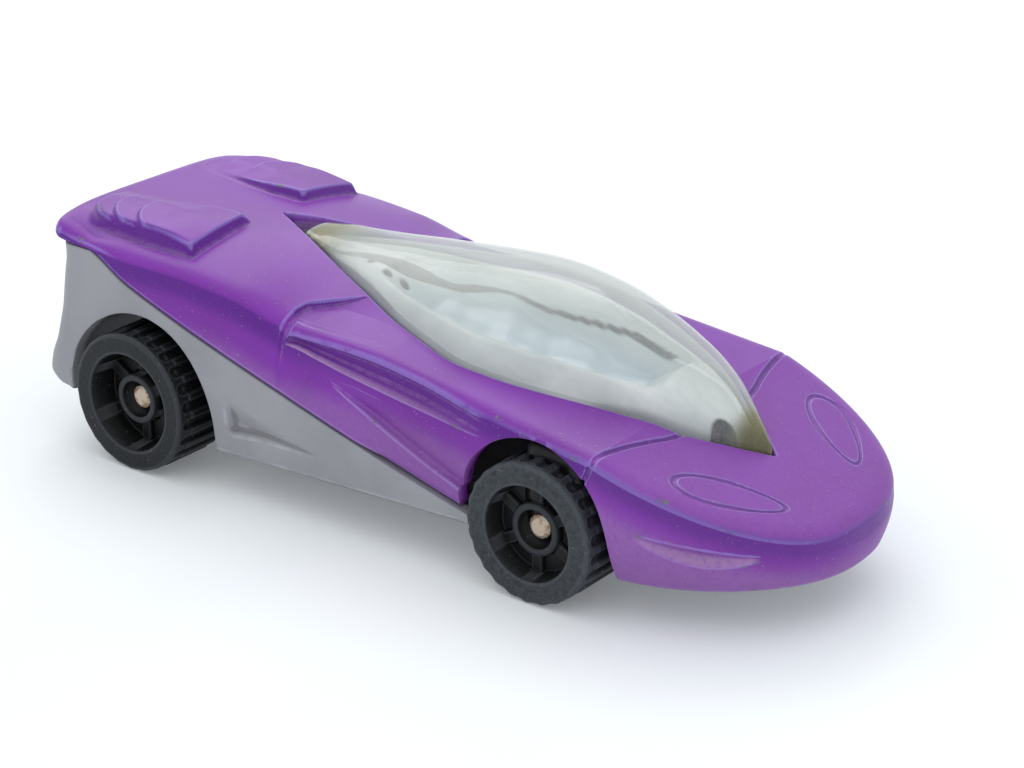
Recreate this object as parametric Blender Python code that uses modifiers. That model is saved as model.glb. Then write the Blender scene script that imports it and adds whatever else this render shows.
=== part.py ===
# A die-cast toy car: a zinc body casting with a teardrop opening, a clear canopy over a
# metallised cockpit insert, a grey moulded chassis with rear fenders, and four treaded
# wheels on two loose steel axles.
#
# Lengths below are millimetres. X runs forward, Y to the car's left, Z up from the ground.
# While the shapes are worked out, x = 0 is midway between the axles. The finished car is
# shifted so that its origin is the centre of its length, on the ground.

import math

import bmesh
import bpy
from mathutils import Matrix, Vector

MM = 0.001
COLLECTION_NAME = "toy_car"

# Layout along the car
WHEELBASE = 42.0
FRONT_OVERHANG = 21.1
REAR_OVERHANG = 11.3
NOTCH_FROM_REAR_AXLE = 16.4
PANEL_LINE_FROM_FRONT_AXLE = 5.4
HUMP_FRONT_FROM_REAR_AXLE = 4.4

# Body heights above the ground
DECK_REAR_Z = 20.45
DECK_MID_Z = 20.25
DECK_NOTCH_Z = 18.9
SHOULDER_TAIL_Z = 19.3
SHOULDER_REAR_Z = 18.5
SHOULDER_NOTCH_Z = 16.75
SHOULDER_PANEL_Z = 13.6
NOSE_TOP_Z = 8.4
BELT_Z = 9.0
NOSE_BELT_Z = 6.4
TAIL_LIP_Z = 18.4
SKIRT_FRONT_Z = 6.0
NOSE_RIM_REAR_Z = 3.3
NOSE_RIM_FRONT_Z = 4.2

# Body half widths
SHOULDER_TAIL_Y = 12.1
SHOULDER_REAR_Y = 12.35
SHOULDER_NOTCH_Y = 12.4
SHOULDER_PANEL_Y = 13.35
BELT_Y = 14.1
SILL_Y = 13.6
NOSE_RIM_Y = 12.3

# Body edges and wall
SHOULDER_ROLL = 1.2
SHOULDER_SPREAD = 0.55
SHOULDER_DROP = 0.8
NOSE_SPREAD = 0.2
NOSE_BELT_REACH = 0.3
TAIL_CORNER_ROUND = 1.4
TAIL_EDGE_ROLL = 0.35
TAIL_CROWN_POWER = 5.0
TAIL_SOLID = 3.4
BODY_WALL = 1.3

# Fender groove under the front shoulder
GROOVE_DEPTH = 0.8
GROOVE_REAR_Z = 15.3
GROOVE_FRONT_Z = 12.6
GROOVE_LIP_HEIGHT = 0.5

# The curved step between the rear deck and the lower front fenders
FENDER_DROP = 0.55
FENDER_STEP_RUN = 0.25
FENDER_STEP_BEND = 2.8

# Panel line across the nose and the outlines of the headlights
LINE_WIDTH = 0.45
LINE_DEPTH = 0.3
HEADLIGHT_LENGTH = 8.5
HEADLIGHT_WIDTH = 3.1
HEADLIGHT_ANGLE = -38.0
HEADLIGHT_FROM_FRONT_AXLE = 14.1
HEADLIGHT_Y = 8.0

# Rear deck humps, each a stack of three louvred steps
HUMP_INNER_Y = 3.3
HUMP_OUTER_Y = 11.0
HUMP_STEP = 0.3
HUMP_STEP_LENGTHS = (8.8, 11.8, 14.2)
HUMP_STEP_TUCK = 0.15
HUMP_OUTER_RISE = 0.8
HUMP_DRAFT = 0.6
HUMP_CORNER_LENGTH = 4.4
HUMP_CORNER_WIDTH = 3.4
HUMP_BASE_SINK = 0.6

# Side scoop, nose slot and chassis recess
SCOOP_FROM_NOTCH = 4.8
SCOOP_APEX_Z = 13.2
SCOOP_LENGTH = 16.0
SCOOP_LOWER_DROP = 6.6
SCOOP_UPPER_DROP = 1.6
SCOOP_DEPTH = 0.75
SLOT_DEPTH = 0.5
SLOT_HEIGHT = 1.4
SLOT_REAR_Z = 8.1
SLOT_FRONT_Z = 7.3
RECESS_FROM_REAR_AXLE = 10.3
RECESS_LOW_Z = 5.6
RECESS_LENGTH = 12.2
RECESS_HEIGHT = 3.6
RECESS_DEPTH = 0.5

# Canopy
OPENING_REAR_FROM_REAR_AXLE = 4.8
OPENING_FRONT_FROM_FRONT_AXLE = 13.2
OPENING_HALF_WIDTH = 9.6
CANOPY_TOP_Z = 21.3
CANOPY_WALL = 0.7
CANOPY_GAP = 0.2
CANOPY_FLANGE = 0.8
CANOPY_FLANGE_DROP = 0.5

# Cockpit insert
INSERT_WALL = 0.8
INSERT_GAP = 0.35
INSERT_REAR_SETBACK = 6.0
INSERT_FRONT_SETBACK = 3.0
COCKPIT_DEPTH = 3.2
SEAT_HEIGHT = 1.5

# Chassis
CHASSIS_WALL = 1.2
SEAM_GAP = 0.2
PAN_Z = 3.0
PAN_THICKNESS = 1.1
PAN_RISE_FROM_REAR_AXLE = 5.4
PAN_RISE_LENGTH = 2.8
TAIL_BUMPER_Z = 5.1
TAIL_TUCK = 3.0
TAIL_BLEND = 4.0
SILL_REAR_Z = 3.2
SILL_FRONT_Z = 4.6
PAN_HALF_WIDTH = 11.0
NOSE_PAN_GAP = 0.3
WELL_INNER_Y = 7.6

# Wheel arches
FRONT_ARCH_RADIUS = 7.1
FRONT_ARCH_Z = 6.4
REAR_ARCH_RADIUS = 8.45
REAR_ARCH_Z = 5.4
REAR_ARCH_FORWARD = 0.45

# Wheels
FRONT_WHEEL_RADIUS = 5.9
REAR_WHEEL_RADIUS = 6.2
FRONT_WHEEL_OUTER_Y = 14.5
REAR_WHEEL_OUTER_Y = 15.25
WHEEL_WIDTH = 6.2
FRONT_DISH_RADIUS = 4.0
REAR_DISH_RADIUS = 4.4
FRONT_DISH_DEPTH = 1.9
REAR_DISH_DEPTH = 2.6
HUB_FACE_SETBACK = 1.1
HUB_BACK_SETBACK = 0.4
WEB_THICKNESS = 1.2
DISH_DRAFT = 0.3
SIDEWALL_CHAMFER = (0.35, 0.6)
TREAD_LUGS = 24
TREAD_DEPTH = 0.34
TREAD_GROOVE_WIDTH = 0.85
SPOKES = 6
SPOKE_WIDTH = 1.0
SPOKE_HEIGHT = 0.8
HUB_RADIUS = 2.2
HUB_BORE_RADIUS = 0.85
HUB_COUNTERBORE_RADIUS = 1.6

# Axles
AXLE_RADIUS = 0.75
AXLE_HEAD_RADIUS = 1.0
AXLE_HEAD_LENGTH = 0.5
AXLE_HEAD_INSET = 1.65
AXLE_SEAT_GAP = 0.15
SADDLE_GAP = 0.15
SADDLE_Y = 5.9
SADDLE_THICKNESS = 1.2
SADDLE_LENGTH = 4.0
SADDLE_LIP = 0.4
KEEPER_Y = 3.8
KEEPER_LENGTH = 3.0
KEEPER_LEG_Y = 2.2
KEEPER_LEG_LENGTH = 2.4
KEEPER_THICKNESS = 1.2
KEEPER_GAP = 0.3

# Peened posts that hold the body to the chassis
POST_RADIUS = 1.6
RIVET_RADIUS = 1.0
RIVET_HEAD_RADIUS = 1.5
RIVET_HEAD_HEIGHT = 0.5
RIVET_GAP = 0.15
FRONT_POST_FROM_FRONT_AXLE = 15.9
REAR_POST_FROM_REAR_AXLE = 3.6
BOSS_HEIGHT = 0.9

# Positions that follow from the layout
FRONT_AXLE_X = WHEELBASE / 2
REAR_AXLE_X = -WHEELBASE / 2
NOSE_X = FRONT_AXLE_X + FRONT_OVERHANG
TAIL_X = REAR_AXLE_X - REAR_OVERHANG
NOTCH_X = REAR_AXLE_X + NOTCH_FROM_REAR_AXLE
PANEL_X = FRONT_AXLE_X + PANEL_LINE_FROM_FRONT_AXLE
HUMP_FRONT_X = REAR_AXLE_X + HUMP_FRONT_FROM_REAR_AXLE
OPENING_REAR_X = REAR_AXLE_X + OPENING_REAR_FROM_REAR_AXLE
OPENING_FRONT_X = FRONT_AXLE_X + OPENING_FRONT_FROM_FRONT_AXLE
ARCH_REAR_EDGE_X = FRONT_AXLE_X - FRONT_ARCH_RADIUS
NOSE_TIP_X = NOSE_X + max(NOSE_SPREAD, NOSE_BELT_REACH)
CENTRE_X = (TAIL_X + NOSE_TIP_X) / 2


def world(x, y, z):
    """A point of the drawing as a world point in metres."""
    return Vector(((x - CENTRE_X) * MM, y * MM, z * MM))


def mix(a, b, t):
    return a + (b - a) * t


def clamp(value):
    return max(0.0, min(1.0, value))


def between(a, b, count):
    """count + 1 even values from a to b."""
    return [mix(a, b, i / count) for i in range(count + 1)]


def smooth_curve(points, x):
    """The value at x of a curve through (x, value) points that never overshoots them."""
    if x <= points[0][0]:
        return points[0][1]
    if x >= points[-1][0]:
        return points[-1][1]
    slopes = []
    for (xa, va), (xb, vb) in zip(points, points[1:]):
        slopes.append((vb - va) / (xb - xa))
    tangents = [slopes[0]]
    for before, after in zip(slopes, slopes[1:]):
        product = before * after
        tangents.append(2 * product / (before + after) if product > 0 else 0.0)
    tangents.append(slopes[-1])
    for i in range(len(slopes)):
        xa, va = points[i]
        xb, vb = points[i + 1]
        if x <= xb:
            span = xb - xa
            t = (x - xa) / span
            start = (2 * t ** 3 - 3 * t ** 2 + 1) * va + (t ** 3 - 2 * t ** 2 + t) * span * tangents[i]
            end = (3 * t ** 2 - 2 * t ** 3) * vb + (t ** 3 - t ** 2) * span * tangents[i + 1]
            return start + end
    return points[-1][1]


# The body's lines along the car

def shoulder_z(x):
    """Height of the shoulder crease; the nose is a flat slope ahead of the panel line."""
    if x > PANEL_X:
        slope = (NOSE_TOP_Z - SHOULDER_PANEL_Z) / (NOSE_X - PANEL_X)
        return SHOULDER_PANEL_Z + slope * (x - PANEL_X)
    deck_length = NOTCH_X - TAIL_X
    fender_length = PANEL_X - NOTCH_X
    return smooth_curve([
        (TAIL_X, SHOULDER_TAIL_Z),
        (TAIL_X + 0.2 * deck_length, SHOULDER_REAR_Z),
        (TAIL_X + 0.5 * deck_length, SHOULDER_REAR_Z),
        (TAIL_X + 0.77 * deck_length, mix(SHOULDER_REAR_Z, SHOULDER_NOTCH_Z, 0.29)),
        (NOTCH_X, SHOULDER_NOTCH_Z),
        (NOTCH_X + 0.24 * fender_length, mix(SHOULDER_NOTCH_Z, SHOULDER_PANEL_Z, 0.12)),
        (NOTCH_X + 0.64 * fender_length, mix(SHOULDER_NOTCH_Z, SHOULDER_PANEL_Z, 0.6)),
        (PANEL_X, SHOULDER_PANEL_Z)], x)


def deck_centre_z(x):
    """Height of the deck on the centre plane, as if the canopy opening were filled."""
    if x > PANEL_X:
        return shoulder_z(x)
    return smooth_curve([
        (TAIL_X, DECK_REAR_Z),
        (OPENING_REAR_X, DECK_MID_Z),
        (NOTCH_X, DECK_NOTCH_Z),
        (PANEL_X, SHOULDER_PANEL_Z)], x)


def shoulder_y(x):
    return smooth_curve([
        (TAIL_X, SHOULDER_TAIL_Y),
        (mix(TAIL_X, NOTCH_X, 0.2), SHOULDER_REAR_Y),
        (NOTCH_X, SHOULDER_NOTCH_Y),
        (PANEL_X, SHOULDER_PANEL_Y)], x)


def fender_step_x(y):
    """Where the step from the deck down to the fender lies: an arc that bends forward as it
    nears the canopy."""
    return NOTCH_X + smooth_curve([
        (5.8, 1.25 * FENDER_STEP_BEND), (7.0, FENDER_STEP_BEND), (8.9, 0.3 * FENDER_STEP_BEND),
        (10.1, -0.13 * FENDER_STEP_BEND), (11.1, -0.2 * FENDER_STEP_BEND), (12.4, 0.0)], abs(y))


def fender_drop(x, y):
    """How far the fender lies below the deck's crown ahead of the step. It fades towards
    the canopy, towards the shoulder crease and forwards."""
    past = clamp((x - fender_step_x(y)) / FENDER_STEP_RUN)
    inward = smooth_curve([(6.2, 0.0), (8.5, 1.0)], abs(y))
    outward = smooth_curve([(11.2, 1.0), (12.4, 0.35)], abs(y))
    forward = smooth_curve([(1.5, 1.0), (10.0, 0.0)], x - NOTCH_X)
    return FENDER_DROP * past * inward * outward * forward


def deck_z(x, y):
    """The crowned deck: highest on the centre plane, falling to the shoulder, and flatter
    across at the tail."""
    share = min(abs(y) / shoulder_y(x), 1.0)
    power = smooth_curve([(TAIL_X, TAIL_CROWN_POWER), (mix(TAIL_X, NOTCH_X, 0.35), 2.0)], x)
    return mix(deck_centre_z(x), shoulder_z(x), share ** power) - fender_drop(x, y)


def skirt_z(x):
    """Lower edge of the painted body, a line that falls from the tail to the front arch."""
    span = ARCH_REAR_EDGE_X - TAIL_X
    drop = TAIL_LIP_Z - SKIRT_FRONT_Z
    return smooth_curve([
        (TAIL_X, TAIL_LIP_Z),
        (TAIL_X + 0.07 * span, TAIL_LIP_Z),
        (TAIL_X + 0.22 * span, TAIL_LIP_Z - 0.19 * drop),
        (TAIL_X + 0.38 * span, TAIL_LIP_Z - 0.37 * drop),
        (TAIL_X + 0.73 * span, TAIL_LIP_Z - 0.73 * drop),
        (ARCH_REAR_EDGE_X, SKIRT_FRONT_Z),
        (FRONT_AXLE_X, mix(SKIRT_FRONT_Z, NOSE_RIM_REAR_Z, 0.6)),
        (FRONT_AXLE_X + FRONT_ARCH_RADIUS, NOSE_RIM_REAR_Z),
        (NOSE_X, NOSE_RIM_FRONT_Z)], x)


def groove_lip_z(x):
    return smooth_curve([
        (NOTCH_X, shoulder_z(NOTCH_X) - 1.0),
        (NOTCH_X + 1.7, GROOVE_REAR_Z),
        (NOTCH_X + 6.5, mix(GROOVE_REAR_Z, GROOVE_FRONT_Z, 0.4)),
        (ARCH_REAR_EDGE_X + 1.5, GROOVE_FRONT_Z)], x)


def groove_share(x):
    """How deep the fender groove is at x, from 0 where it fades to 1."""
    return smooth_curve([
        (NOTCH_X - 0.05, 0.0),
        (NOTCH_X + FENDER_STEP_RUN, 0.7),
        (NOTCH_X + 1.2, 1.0),
        (ARCH_REAR_EDGE_X - 2.5, 1.0),
        (ARCH_REAR_EDGE_X + 2.5, 0.0)], x)


def level_point(station, half_width, tip_x, fullness, squareness):
    """Plan position on one level of the body. Stations up to 0 measure x behind the panel
    line; stations from 0 to 1 go round the nose."""
    if station <= 0:
        return PANEL_X + station, half_width
    along = math.sin(station * math.pi / 2)
    x = mix(PANEL_X, tip_x, along)
    y = half_width * max(0.0, 1 - along ** fullness) ** (1 / squareness)
    return x, y


def body_section(station, inset=0.0, deck_steps=7, roll_steps=4, side_steps=4, floor_drop=0.0):
    """Half of the body's cross section from the centre plane to the lower edge, as
    (x, y, z) points. An inset gives the inside of the wall."""
    x = PANEL_X + min(station, 0)
    tail = TAIL_X + (TAIL_SOLID if inset else 0.0)
    corner = clamp((tail + TAIL_CORNER_ROUND - x) / TAIL_CORNER_ROUND)
    bite = 1 - math.sqrt(1 - corner * corner)
    pulled_in = inset + TAIL_CORNER_ROUND * bite
    lower = inset + TAIL_EDGE_ROLL * bite

    # The shoulder's roll tightens where the painted side is too low to hold it.
    flank = clamp((shoulder_z(x) - skirt_z(x)) / 2.0)
    roll = mix(0.4, 1.0, flank) * SHOULDER_ROLL
    spread = mix(0.4, 1.0, flank) * SHOULDER_SPREAD
    drop = mix(0.2, 1.0, flank) * SHOULDER_DROP
    crest_y = shoulder_y(x) - pulled_in
    crest_x = NOSE_X - inset
    inner_x, inner_y = level_point(station, crest_y - roll, crest_x - roll, 1.8, 2.5)
    edge_x, edge_y = level_point(station, crest_y + 0.75 * spread, crest_x + 0.75 * NOSE_SPREAD, 1.8, 2.55)
    outer_x, outer_y = level_point(station, crest_y + spread, crest_x + NOSE_SPREAD, 1.8, 2.6)
    belt_x, belt_y = level_point(station, BELT_Y - pulled_in, crest_x + NOSE_BELT_REACH, 1.85, 2.5)
    rim_width = smooth_curve([(ARCH_REAR_EDGE_X, SILL_Y), (PANEL_X, NOSE_RIM_Y)], x)
    rim_x, rim_y = level_point(station, rim_width - pulled_in, crest_x, 1.75, 2.3)

    points = []
    bend = smooth_curve([(0.0, 1.0), (0.6, 1.0), (6.0, 0.0)], abs(x - NOTCH_X))
    for share in between(0.0, 1.0, deck_steps):
        y = inner_y * share
        bent_x = inner_x + bend * (fender_step_x(y) - NOTCH_X)
        points.append((bent_x, y, deck_z(bent_x, y) - lower))
    start = Vector(points[-1])
    if station > 0:
        edge_z = shoulder_z(edge_x) - lower
    else:
        slope = 2 * (shoulder_z(x) - deck_centre_z(x)) / shoulder_y(x)
        edge_z = start.z + slope * (edge_y - inner_y)
    edge = Vector((edge_x, edge_y, edge_z))
    outer = Vector((outer_x, outer_y, edge_z - drop))
    for t in between(0.0, 1.0, roll_steps)[1:]:
        points.append(tuple(start * (1 - t) ** 2 + edge * 2 * t * (1 - t) + outer * t * t))

    belt_z = mix(BELT_Z, NOSE_BELT_Z, clamp(station))
    flare = smooth_curve([(PANEL_X - 4.0, 2.0), (PANEL_X, 1.2)], x)
    if station > 0:
        flare = smooth_curve([(0.0, 1.2), (0.25, 0.75)], station)
    rim_z = min(skirt_z(rim_x), outer.z - 0.3) - floor_drop

    def side_point(z, depth=0.0):
        if z > belt_z:
            up = ((z - belt_z) / (outer.z - belt_z)) ** flare
            return mix(belt_x, outer.x, up), mix(belt_y, outer.y, up) - depth, z
        down = (belt_z - z) / max(belt_z - rim_z, 1.0)
        return mix(belt_x, rim_x, down * down), mix(belt_y, rim_y, down * down) - depth, z

    depth = groove_share(x) * GROOVE_DEPTH
    groove_top = min(mix(outer.z, rim_z, 0.05), groove_lip_z(x) + GROOVE_LIP_HEIGHT)
    groove_floor = min(mix(outer.z, rim_z, 0.1), groove_lip_z(x))
    if depth > 0:
        points.append(side_point(groove_top, 0.8 * depth))
        points.append(side_point(groove_floor, depth))
    else:
        points.append(side_point(mix(outer.z, rim_z, 0.05)))
        points.append(side_point(mix(outer.z, rim_z, 0.1)))
        groove_floor = mix(outer.z, rim_z, 0.1)
    for z in between(groove_floor - 0.02, rim_z, side_steps):
        points.append(side_point(z))
    return points


def lower_edge_z(x):
    """Where the painted body ends, a little under the skirt line if the roll needs room."""
    return body_section(x - PANEL_X, side_steps=1)[-1][2]


def flank_point(station, z):
    """The point of the body's outside at height z."""
    section = body_section(station, side_steps=10)
    for (ax, ay, az), (bx, by, bz) in zip(section[-11:], section[-10:]):
        if bz <= z:
            t = clamp((az - z) / (az - bz))
            return mix(ax, bx, t), mix(ay, by, t), z
    return section[-1]


def side_y(x, z):
    """Outside half width of the car's flank at height z, shared by body and chassis."""
    section = body_section(x - PANEL_X, side_steps=1)
    outer = section[11]
    if z > BELT_Z:
        up = (z - BELT_Z) / (outer[2] - BELT_Z)
        return mix(BELT_Y, outer[1], min(up, 1.0) ** 2)
    down = (BELT_Z - z) / (BELT_Z - PAN_Z)
    return mix(BELT_Y, SILL_Y, down * down)


# The canopy's lines

def opening_y(x):
    """Half width of the teardrop opening in the deck."""
    widest = mix(OPENING_REAR_X, OPENING_FRONT_X, 0.52)
    rear = widest - OPENING_REAR_X
    front = OPENING_FRONT_X - widest
    return smooth_curve([
        (OPENING_REAR_X, 0.0),
        (OPENING_REAR_X + 0.13 * rear, 0.17 * OPENING_HALF_WIDTH),
        (OPENING_REAR_X + 0.5 * rear, 0.58 * OPENING_HALF_WIDTH),
        (OPENING_REAR_X + 0.86 * rear, 0.925 * OPENING_HALF_WIDTH),
        (widest, OPENING_HALF_WIDTH),
        (widest + 0.15 * front, 0.965 * OPENING_HALF_WIDTH),
        (widest + 0.53 * front, 0.69 * OPENING_HALF_WIDTH),
        (widest + 0.75 * front, 0.49 * OPENING_HALF_WIDTH),
        (widest + 0.88 * front, 0.25 * OPENING_HALF_WIDTH),
        (OPENING_FRONT_X, 0.0)], x)


def canopy_ridge_z(x):
    """Height of the canopy's crown on the centre plane."""
    rear_z = deck_centre_z(OPENING_REAR_X)
    front_z = deck_centre_z(OPENING_FRONT_X)
    length = OPENING_FRONT_X - OPENING_REAR_X
    return smooth_curve([
        (OPENING_REAR_X, rear_z - 0.5),
        (OPENING_REAR_X + 0.2 * length, mix(rear_z, CANOPY_TOP_Z, 0.05)),
        (OPENING_REAR_X + 0.32 * length, mix(rear_z, CANOPY_TOP_Z, 0.5)),
        (OPENING_REAR_X + 0.53 * length, CANOPY_TOP_Z),
        (OPENING_REAR_X + 0.64 * length, mix(CANOPY_TOP_Z, front_z, 0.04)),
        (OPENING_REAR_X + 0.74 * length, mix(CANOPY_TOP_Z, front_z, 0.14)),
        (OPENING_REAR_X + 0.82 * length, mix(CANOPY_TOP_Z, front_z, 0.29)),
        (OPENING_REAR_X + 0.9 * length, mix(CANOPY_TOP_Z, front_z, 0.52)),
        (OPENING_REAR_X + 0.96 * length, mix(CANOPY_TOP_Z, front_z, 0.75)),
        (OPENING_FRONT_X, front_z)], x)


def tail_x_at(z):
    """The concave rear face of the chassis: it tucks in under the deck and flares out
    again to a low bumper lobe."""
    height = TAIL_LIP_Z - TAIL_BUMPER_Z
    return TAIL_X + smooth_curve([
        (TAIL_BUMPER_Z, 1.9),
        (TAIL_BUMPER_Z + 0.1 * height, 0.8),
        (TAIL_BUMPER_Z + 0.2 * height, 1.1),
        (TAIL_BUMPER_Z + 0.37 * height, 2.1),
        (TAIL_BUMPER_Z + 0.62 * height, 2.7),
        (TAIL_BUMPER_Z + 0.9 * height, 2.7),
        (TAIL_LIP_Z, 2.2)], z)


# Building blocks

def make_collection(name):
    collection = bpy.data.collections.new(name)
    bpy.context.scene.collection.children.link(collection)
    return collection


def make_material(name, colour, roughness, metallic=0.0, alpha=1.0):
    material = bpy.data.materials.new(name)
    material.use_nodes = True
    shader = material.node_tree.nodes["Principled BSDF"]
    shader.inputs["Base Color"].default_value = (*colour, 1.0)
    shader.inputs["Roughness"].default_value = roughness
    shader.inputs["Metallic"].default_value = metallic
    shader.inputs["Alpha"].default_value = alpha
    return material


def add_object(name, mesh, collection, material=None):
    thing = bpy.data.objects.new(name, mesh)
    collection.objects.link(thing)
    if material:
        mesh.materials.append(material)
    return thing


def add_cutter(name, mesh, collection):
    cutter = add_object(name, mesh, collection)
    cutter.hide_render = True
    cutter.display_type = "WIRE"
    return cutter


def finish_mesh(bm, name):
    """Welds coincident points, makes the faces point out and returns the mesh."""
    bmesh.ops.remove_doubles(bm, verts=bm.verts, dist=0.00001)
    bmesh.ops.dissolve_degenerate(bm, edges=bm.edges, dist=0.000001)
    bmesh.ops.recalc_face_normals(bm, faces=bm.faces)
    mesh = bpy.data.meshes.new(name)
    bm.to_mesh(mesh)
    bm.free()
    return mesh


def loft(name, rings):
    """A closed solid through rings of (x, y, z) drawing points, capped at both ends unless
    an end ring has closed up onto the centre plane."""
    bm = bmesh.new()
    loops = []
    for ring in rings:
        loops.append([bm.verts.new(world(*point)) for point in ring])
    for near, far in zip(loops, loops[1:]):
        count = len(near)
        for i in range(count):
            j = (i + 1) % count
            bm.faces.new((near[i], near[j], far[j], far[i]))
    for ring, loop in ((rings[0], loops[0]), (rings[-1], loops[-1])):
        if max(abs(y) for x, y, z in ring) > 0.001:
            bm.faces.new(loop)
    return finish_mesh(bm, name)


def mirrored_ring(half):
    """A whole section ring from its half: left side down, then the right side back up."""
    right = [(x, -y, z) for x, y, z in half[1:]]
    return list(half) + right[::-1]


def box_mesh(name, low, high):
    """A box between two drawing points."""
    bm = bmesh.new()
    bmesh.ops.create_cube(bm, size=1.0)
    corner_a = world(*low)
    corner_b = world(*high)
    centre = (corner_a + corner_b) / 2
    size = corner_b - corner_a
    bmesh.ops.scale(bm, vec=size, verts=bm.verts)
    bmesh.ops.translate(bm, vec=centre, verts=bm.verts)
    return finish_mesh(bm, name)


def cylinder_mesh(name, centre, radius, length, axis, segments=24):
    """A cylinder centred on a drawing point, along Y or Z, with a flat point at the top."""
    bm = bmesh.new()
    bmesh.ops.create_cone(bm, cap_ends=True, segments=segments, radius1=radius * MM,
                          radius2=radius * MM, depth=length * MM)
    if axis == "Y":
        bmesh.ops.rotate(bm, cent=(0, 0, 0), matrix=Matrix.Rotation(math.pi / 2, 3, "X"), verts=bm.verts)
    bmesh.ops.translate(bm, vec=world(*centre), verts=bm.verts)
    return finish_mesh(bm, name)


def boolean(target, tool, operation):
    modifier = target.modifiers.new(f"{operation.lower()}_{tool.name}", "BOOLEAN")
    modifier.operation = operation
    modifier.solver = "EXACT"
    modifier.object = tool


def evaluated_mesh(thing, name):
    """The mesh of an object with its modifiers applied."""
    depsgraph = bpy.context.evaluated_depsgraph_get()
    return bpy.data.meshes.new_from_object(thing.evaluated_get(depsgraph))


# The body casting

def body_stations():
    """Stations along the body, closer where its lines turn."""
    tail = between(TAIL_X, TAIL_X + TAIL_CORNER_ROUND, 3)
    deck = between(TAIL_X + TAIL_CORNER_ROUND, NOTCH_X - 0.6, 6)[1:]
    notch = [NOTCH_X, NOTCH_X + FENDER_STEP_RUN, NOTCH_X + 1.2]
    fender = between(NOTCH_X + 1.2, PANEL_X, 10)[1:]
    behind = [x - PANEL_X for x in tail + deck + notch + fender]
    return behind + between(0.0, 1.0, 10)[1:]


def body_plug():
    return loft("body_plug", [mirrored_ring(body_section(station)) for station in body_stations()])


def body_cavity():
    """The hollow inside the casting, open below."""
    tail = TAIL_X + TAIL_SOLID
    behind = between(tail, tail + TAIL_CORNER_ROUND, 2) + between(tail + TAIL_CORNER_ROUND, PANEL_X, 11)[1:]
    stations = [x - PANEL_X for x in behind] + between(0.0, 1.0, 6)[1:]
    rings = []
    for station in stations:
        half = body_section(station, BODY_WALL, deck_steps=4, roll_steps=2, side_steps=3, floor_drop=3.0)
        plain = half[:7] + half[9:]
        rings.append(mirrored_ring(plain))
    return loft("body_cavity", rings)


def opening_prism():
    """The teardrop hole through the deck."""
    xs = between(OPENING_REAR_X, OPENING_FRONT_X, 26)
    left = [(x, opening_y(x)) for x in xs]
    right = [(x, -opening_y(x)) for x in xs[1:-1]]
    outline = left + right[::-1]
    rings = []
    for z in (NOSE_TOP_Z, CANOPY_TOP_Z + 5):
        rings.append([(x, y, z) for x, y in outline])
    return loft("opening_prism", rings)


def hump_outline(level, shrink):
    """Plan of one hump step for the left side: a square front, and an outer rear corner
    that sweeps round like a scale. Each point has its share of the step's height, which
    fades towards the inner rear. Lower steps start a little inside the one above."""
    length = HUMP_STEP_LENGTHS[level]
    tuck = HUMP_STEP_TUCK * level
    front_x = HUMP_FRONT_X - shrink - 3 * tuck
    rear_x = HUMP_FRONT_X - length + shrink
    inner_y = HUMP_INNER_Y + 2 * shrink + tuck

    outer_y = HUMP_OUTER_Y - shrink - tuck
    turn_x = rear_x + HUMP_CORNER_LENGTH
    turn_y = outer_y - HUMP_CORNER_WIDTH
    points = [(front_x, inner_y, 1.0), (front_x, outer_y, 1.0), (mix(front_x, turn_x, 0.5), outer_y, 1.0)]
    for degrees in (85, 60, 38, 18):
        angle = math.radians(degrees)
        points.append((turn_x - HUMP_CORNER_LENGTH * math.cos(angle),
                       turn_y + HUMP_CORNER_WIDTH * math.sin(angle), 1.0))
    points.append((rear_x + 0.05 * length, mix(turn_y, inner_y, 0.3), 0.6))
    points.append((rear_x + 0.16 * length, inner_y + 0.06 * length, 0.0))
    points.append((mix(front_x, rear_x, 0.5), inner_y + 0.02 * length, 0.6))
    return points


def hump_lift(x, y):
    """Extra height of a hump, which grows towards its outer side and fades at the rear."""
    along = smooth_curve([(0.0, 0.0), (5.0, 1.0), (10.5, 1.0), (14.5, 0.2)], HUMP_FRONT_X - x)
    across = clamp((y - HUMP_INNER_Y) / (HUMP_OUTER_Y - HUMP_INNER_Y))
    return HUMP_OUTER_RISE * along * across


def hump_step(level, side):
    """One louvred step of a hump, following the deck's crown, with drafted sides."""
    below = HUMP_STEP * (len(HUMP_STEP_LENGTHS) - level - 1)
    draft = HUMP_DRAFT * (below + HUMP_STEP)
    rings = []
    for shrink, share in ((0.0, 0.0), (0.3 * draft, 0.5), (draft, 1.0)):
        ring = []
        for x, y, height in hump_outline(level, shrink):
            top = below + 0.02 + height * HUMP_STEP + hump_lift(x, y)
            ring.append((x, side * y, deck_z(x, y) + (share * top if share else -HUMP_BASE_SINK)))
        rings.append(ring)
    return loft(f"hump_step_{level}", rings)


def scoop_wedge(side):
    """The sharp-edged scoop in the flank, deepest along its lower edge."""
    apex_x = NOTCH_X + SCOOP_FROM_NOTCH
    front_x = apex_x + SCOOP_LENGTH
    outside = BELT_Y + 1.0
    surface = side_y(apex_x, SCOOP_APEX_Z)
    outline = [(apex_x, SCOOP_APEX_Z, surface - 0.1),
               (front_x, SCOOP_APEX_Z - SCOOP_LOWER_DROP, BELT_Y - SCOOP_DEPTH),
               (front_x, SCOOP_APEX_Z - SCOOP_UPPER_DROP, surface + 0.25)]
    inner = [(x, y * side, z) for x, z, y in outline]
    outer = [(x, outside * side, z) for x, z, y in outline]
    return loft("scoop_wedge", [inner, outer])


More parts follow.
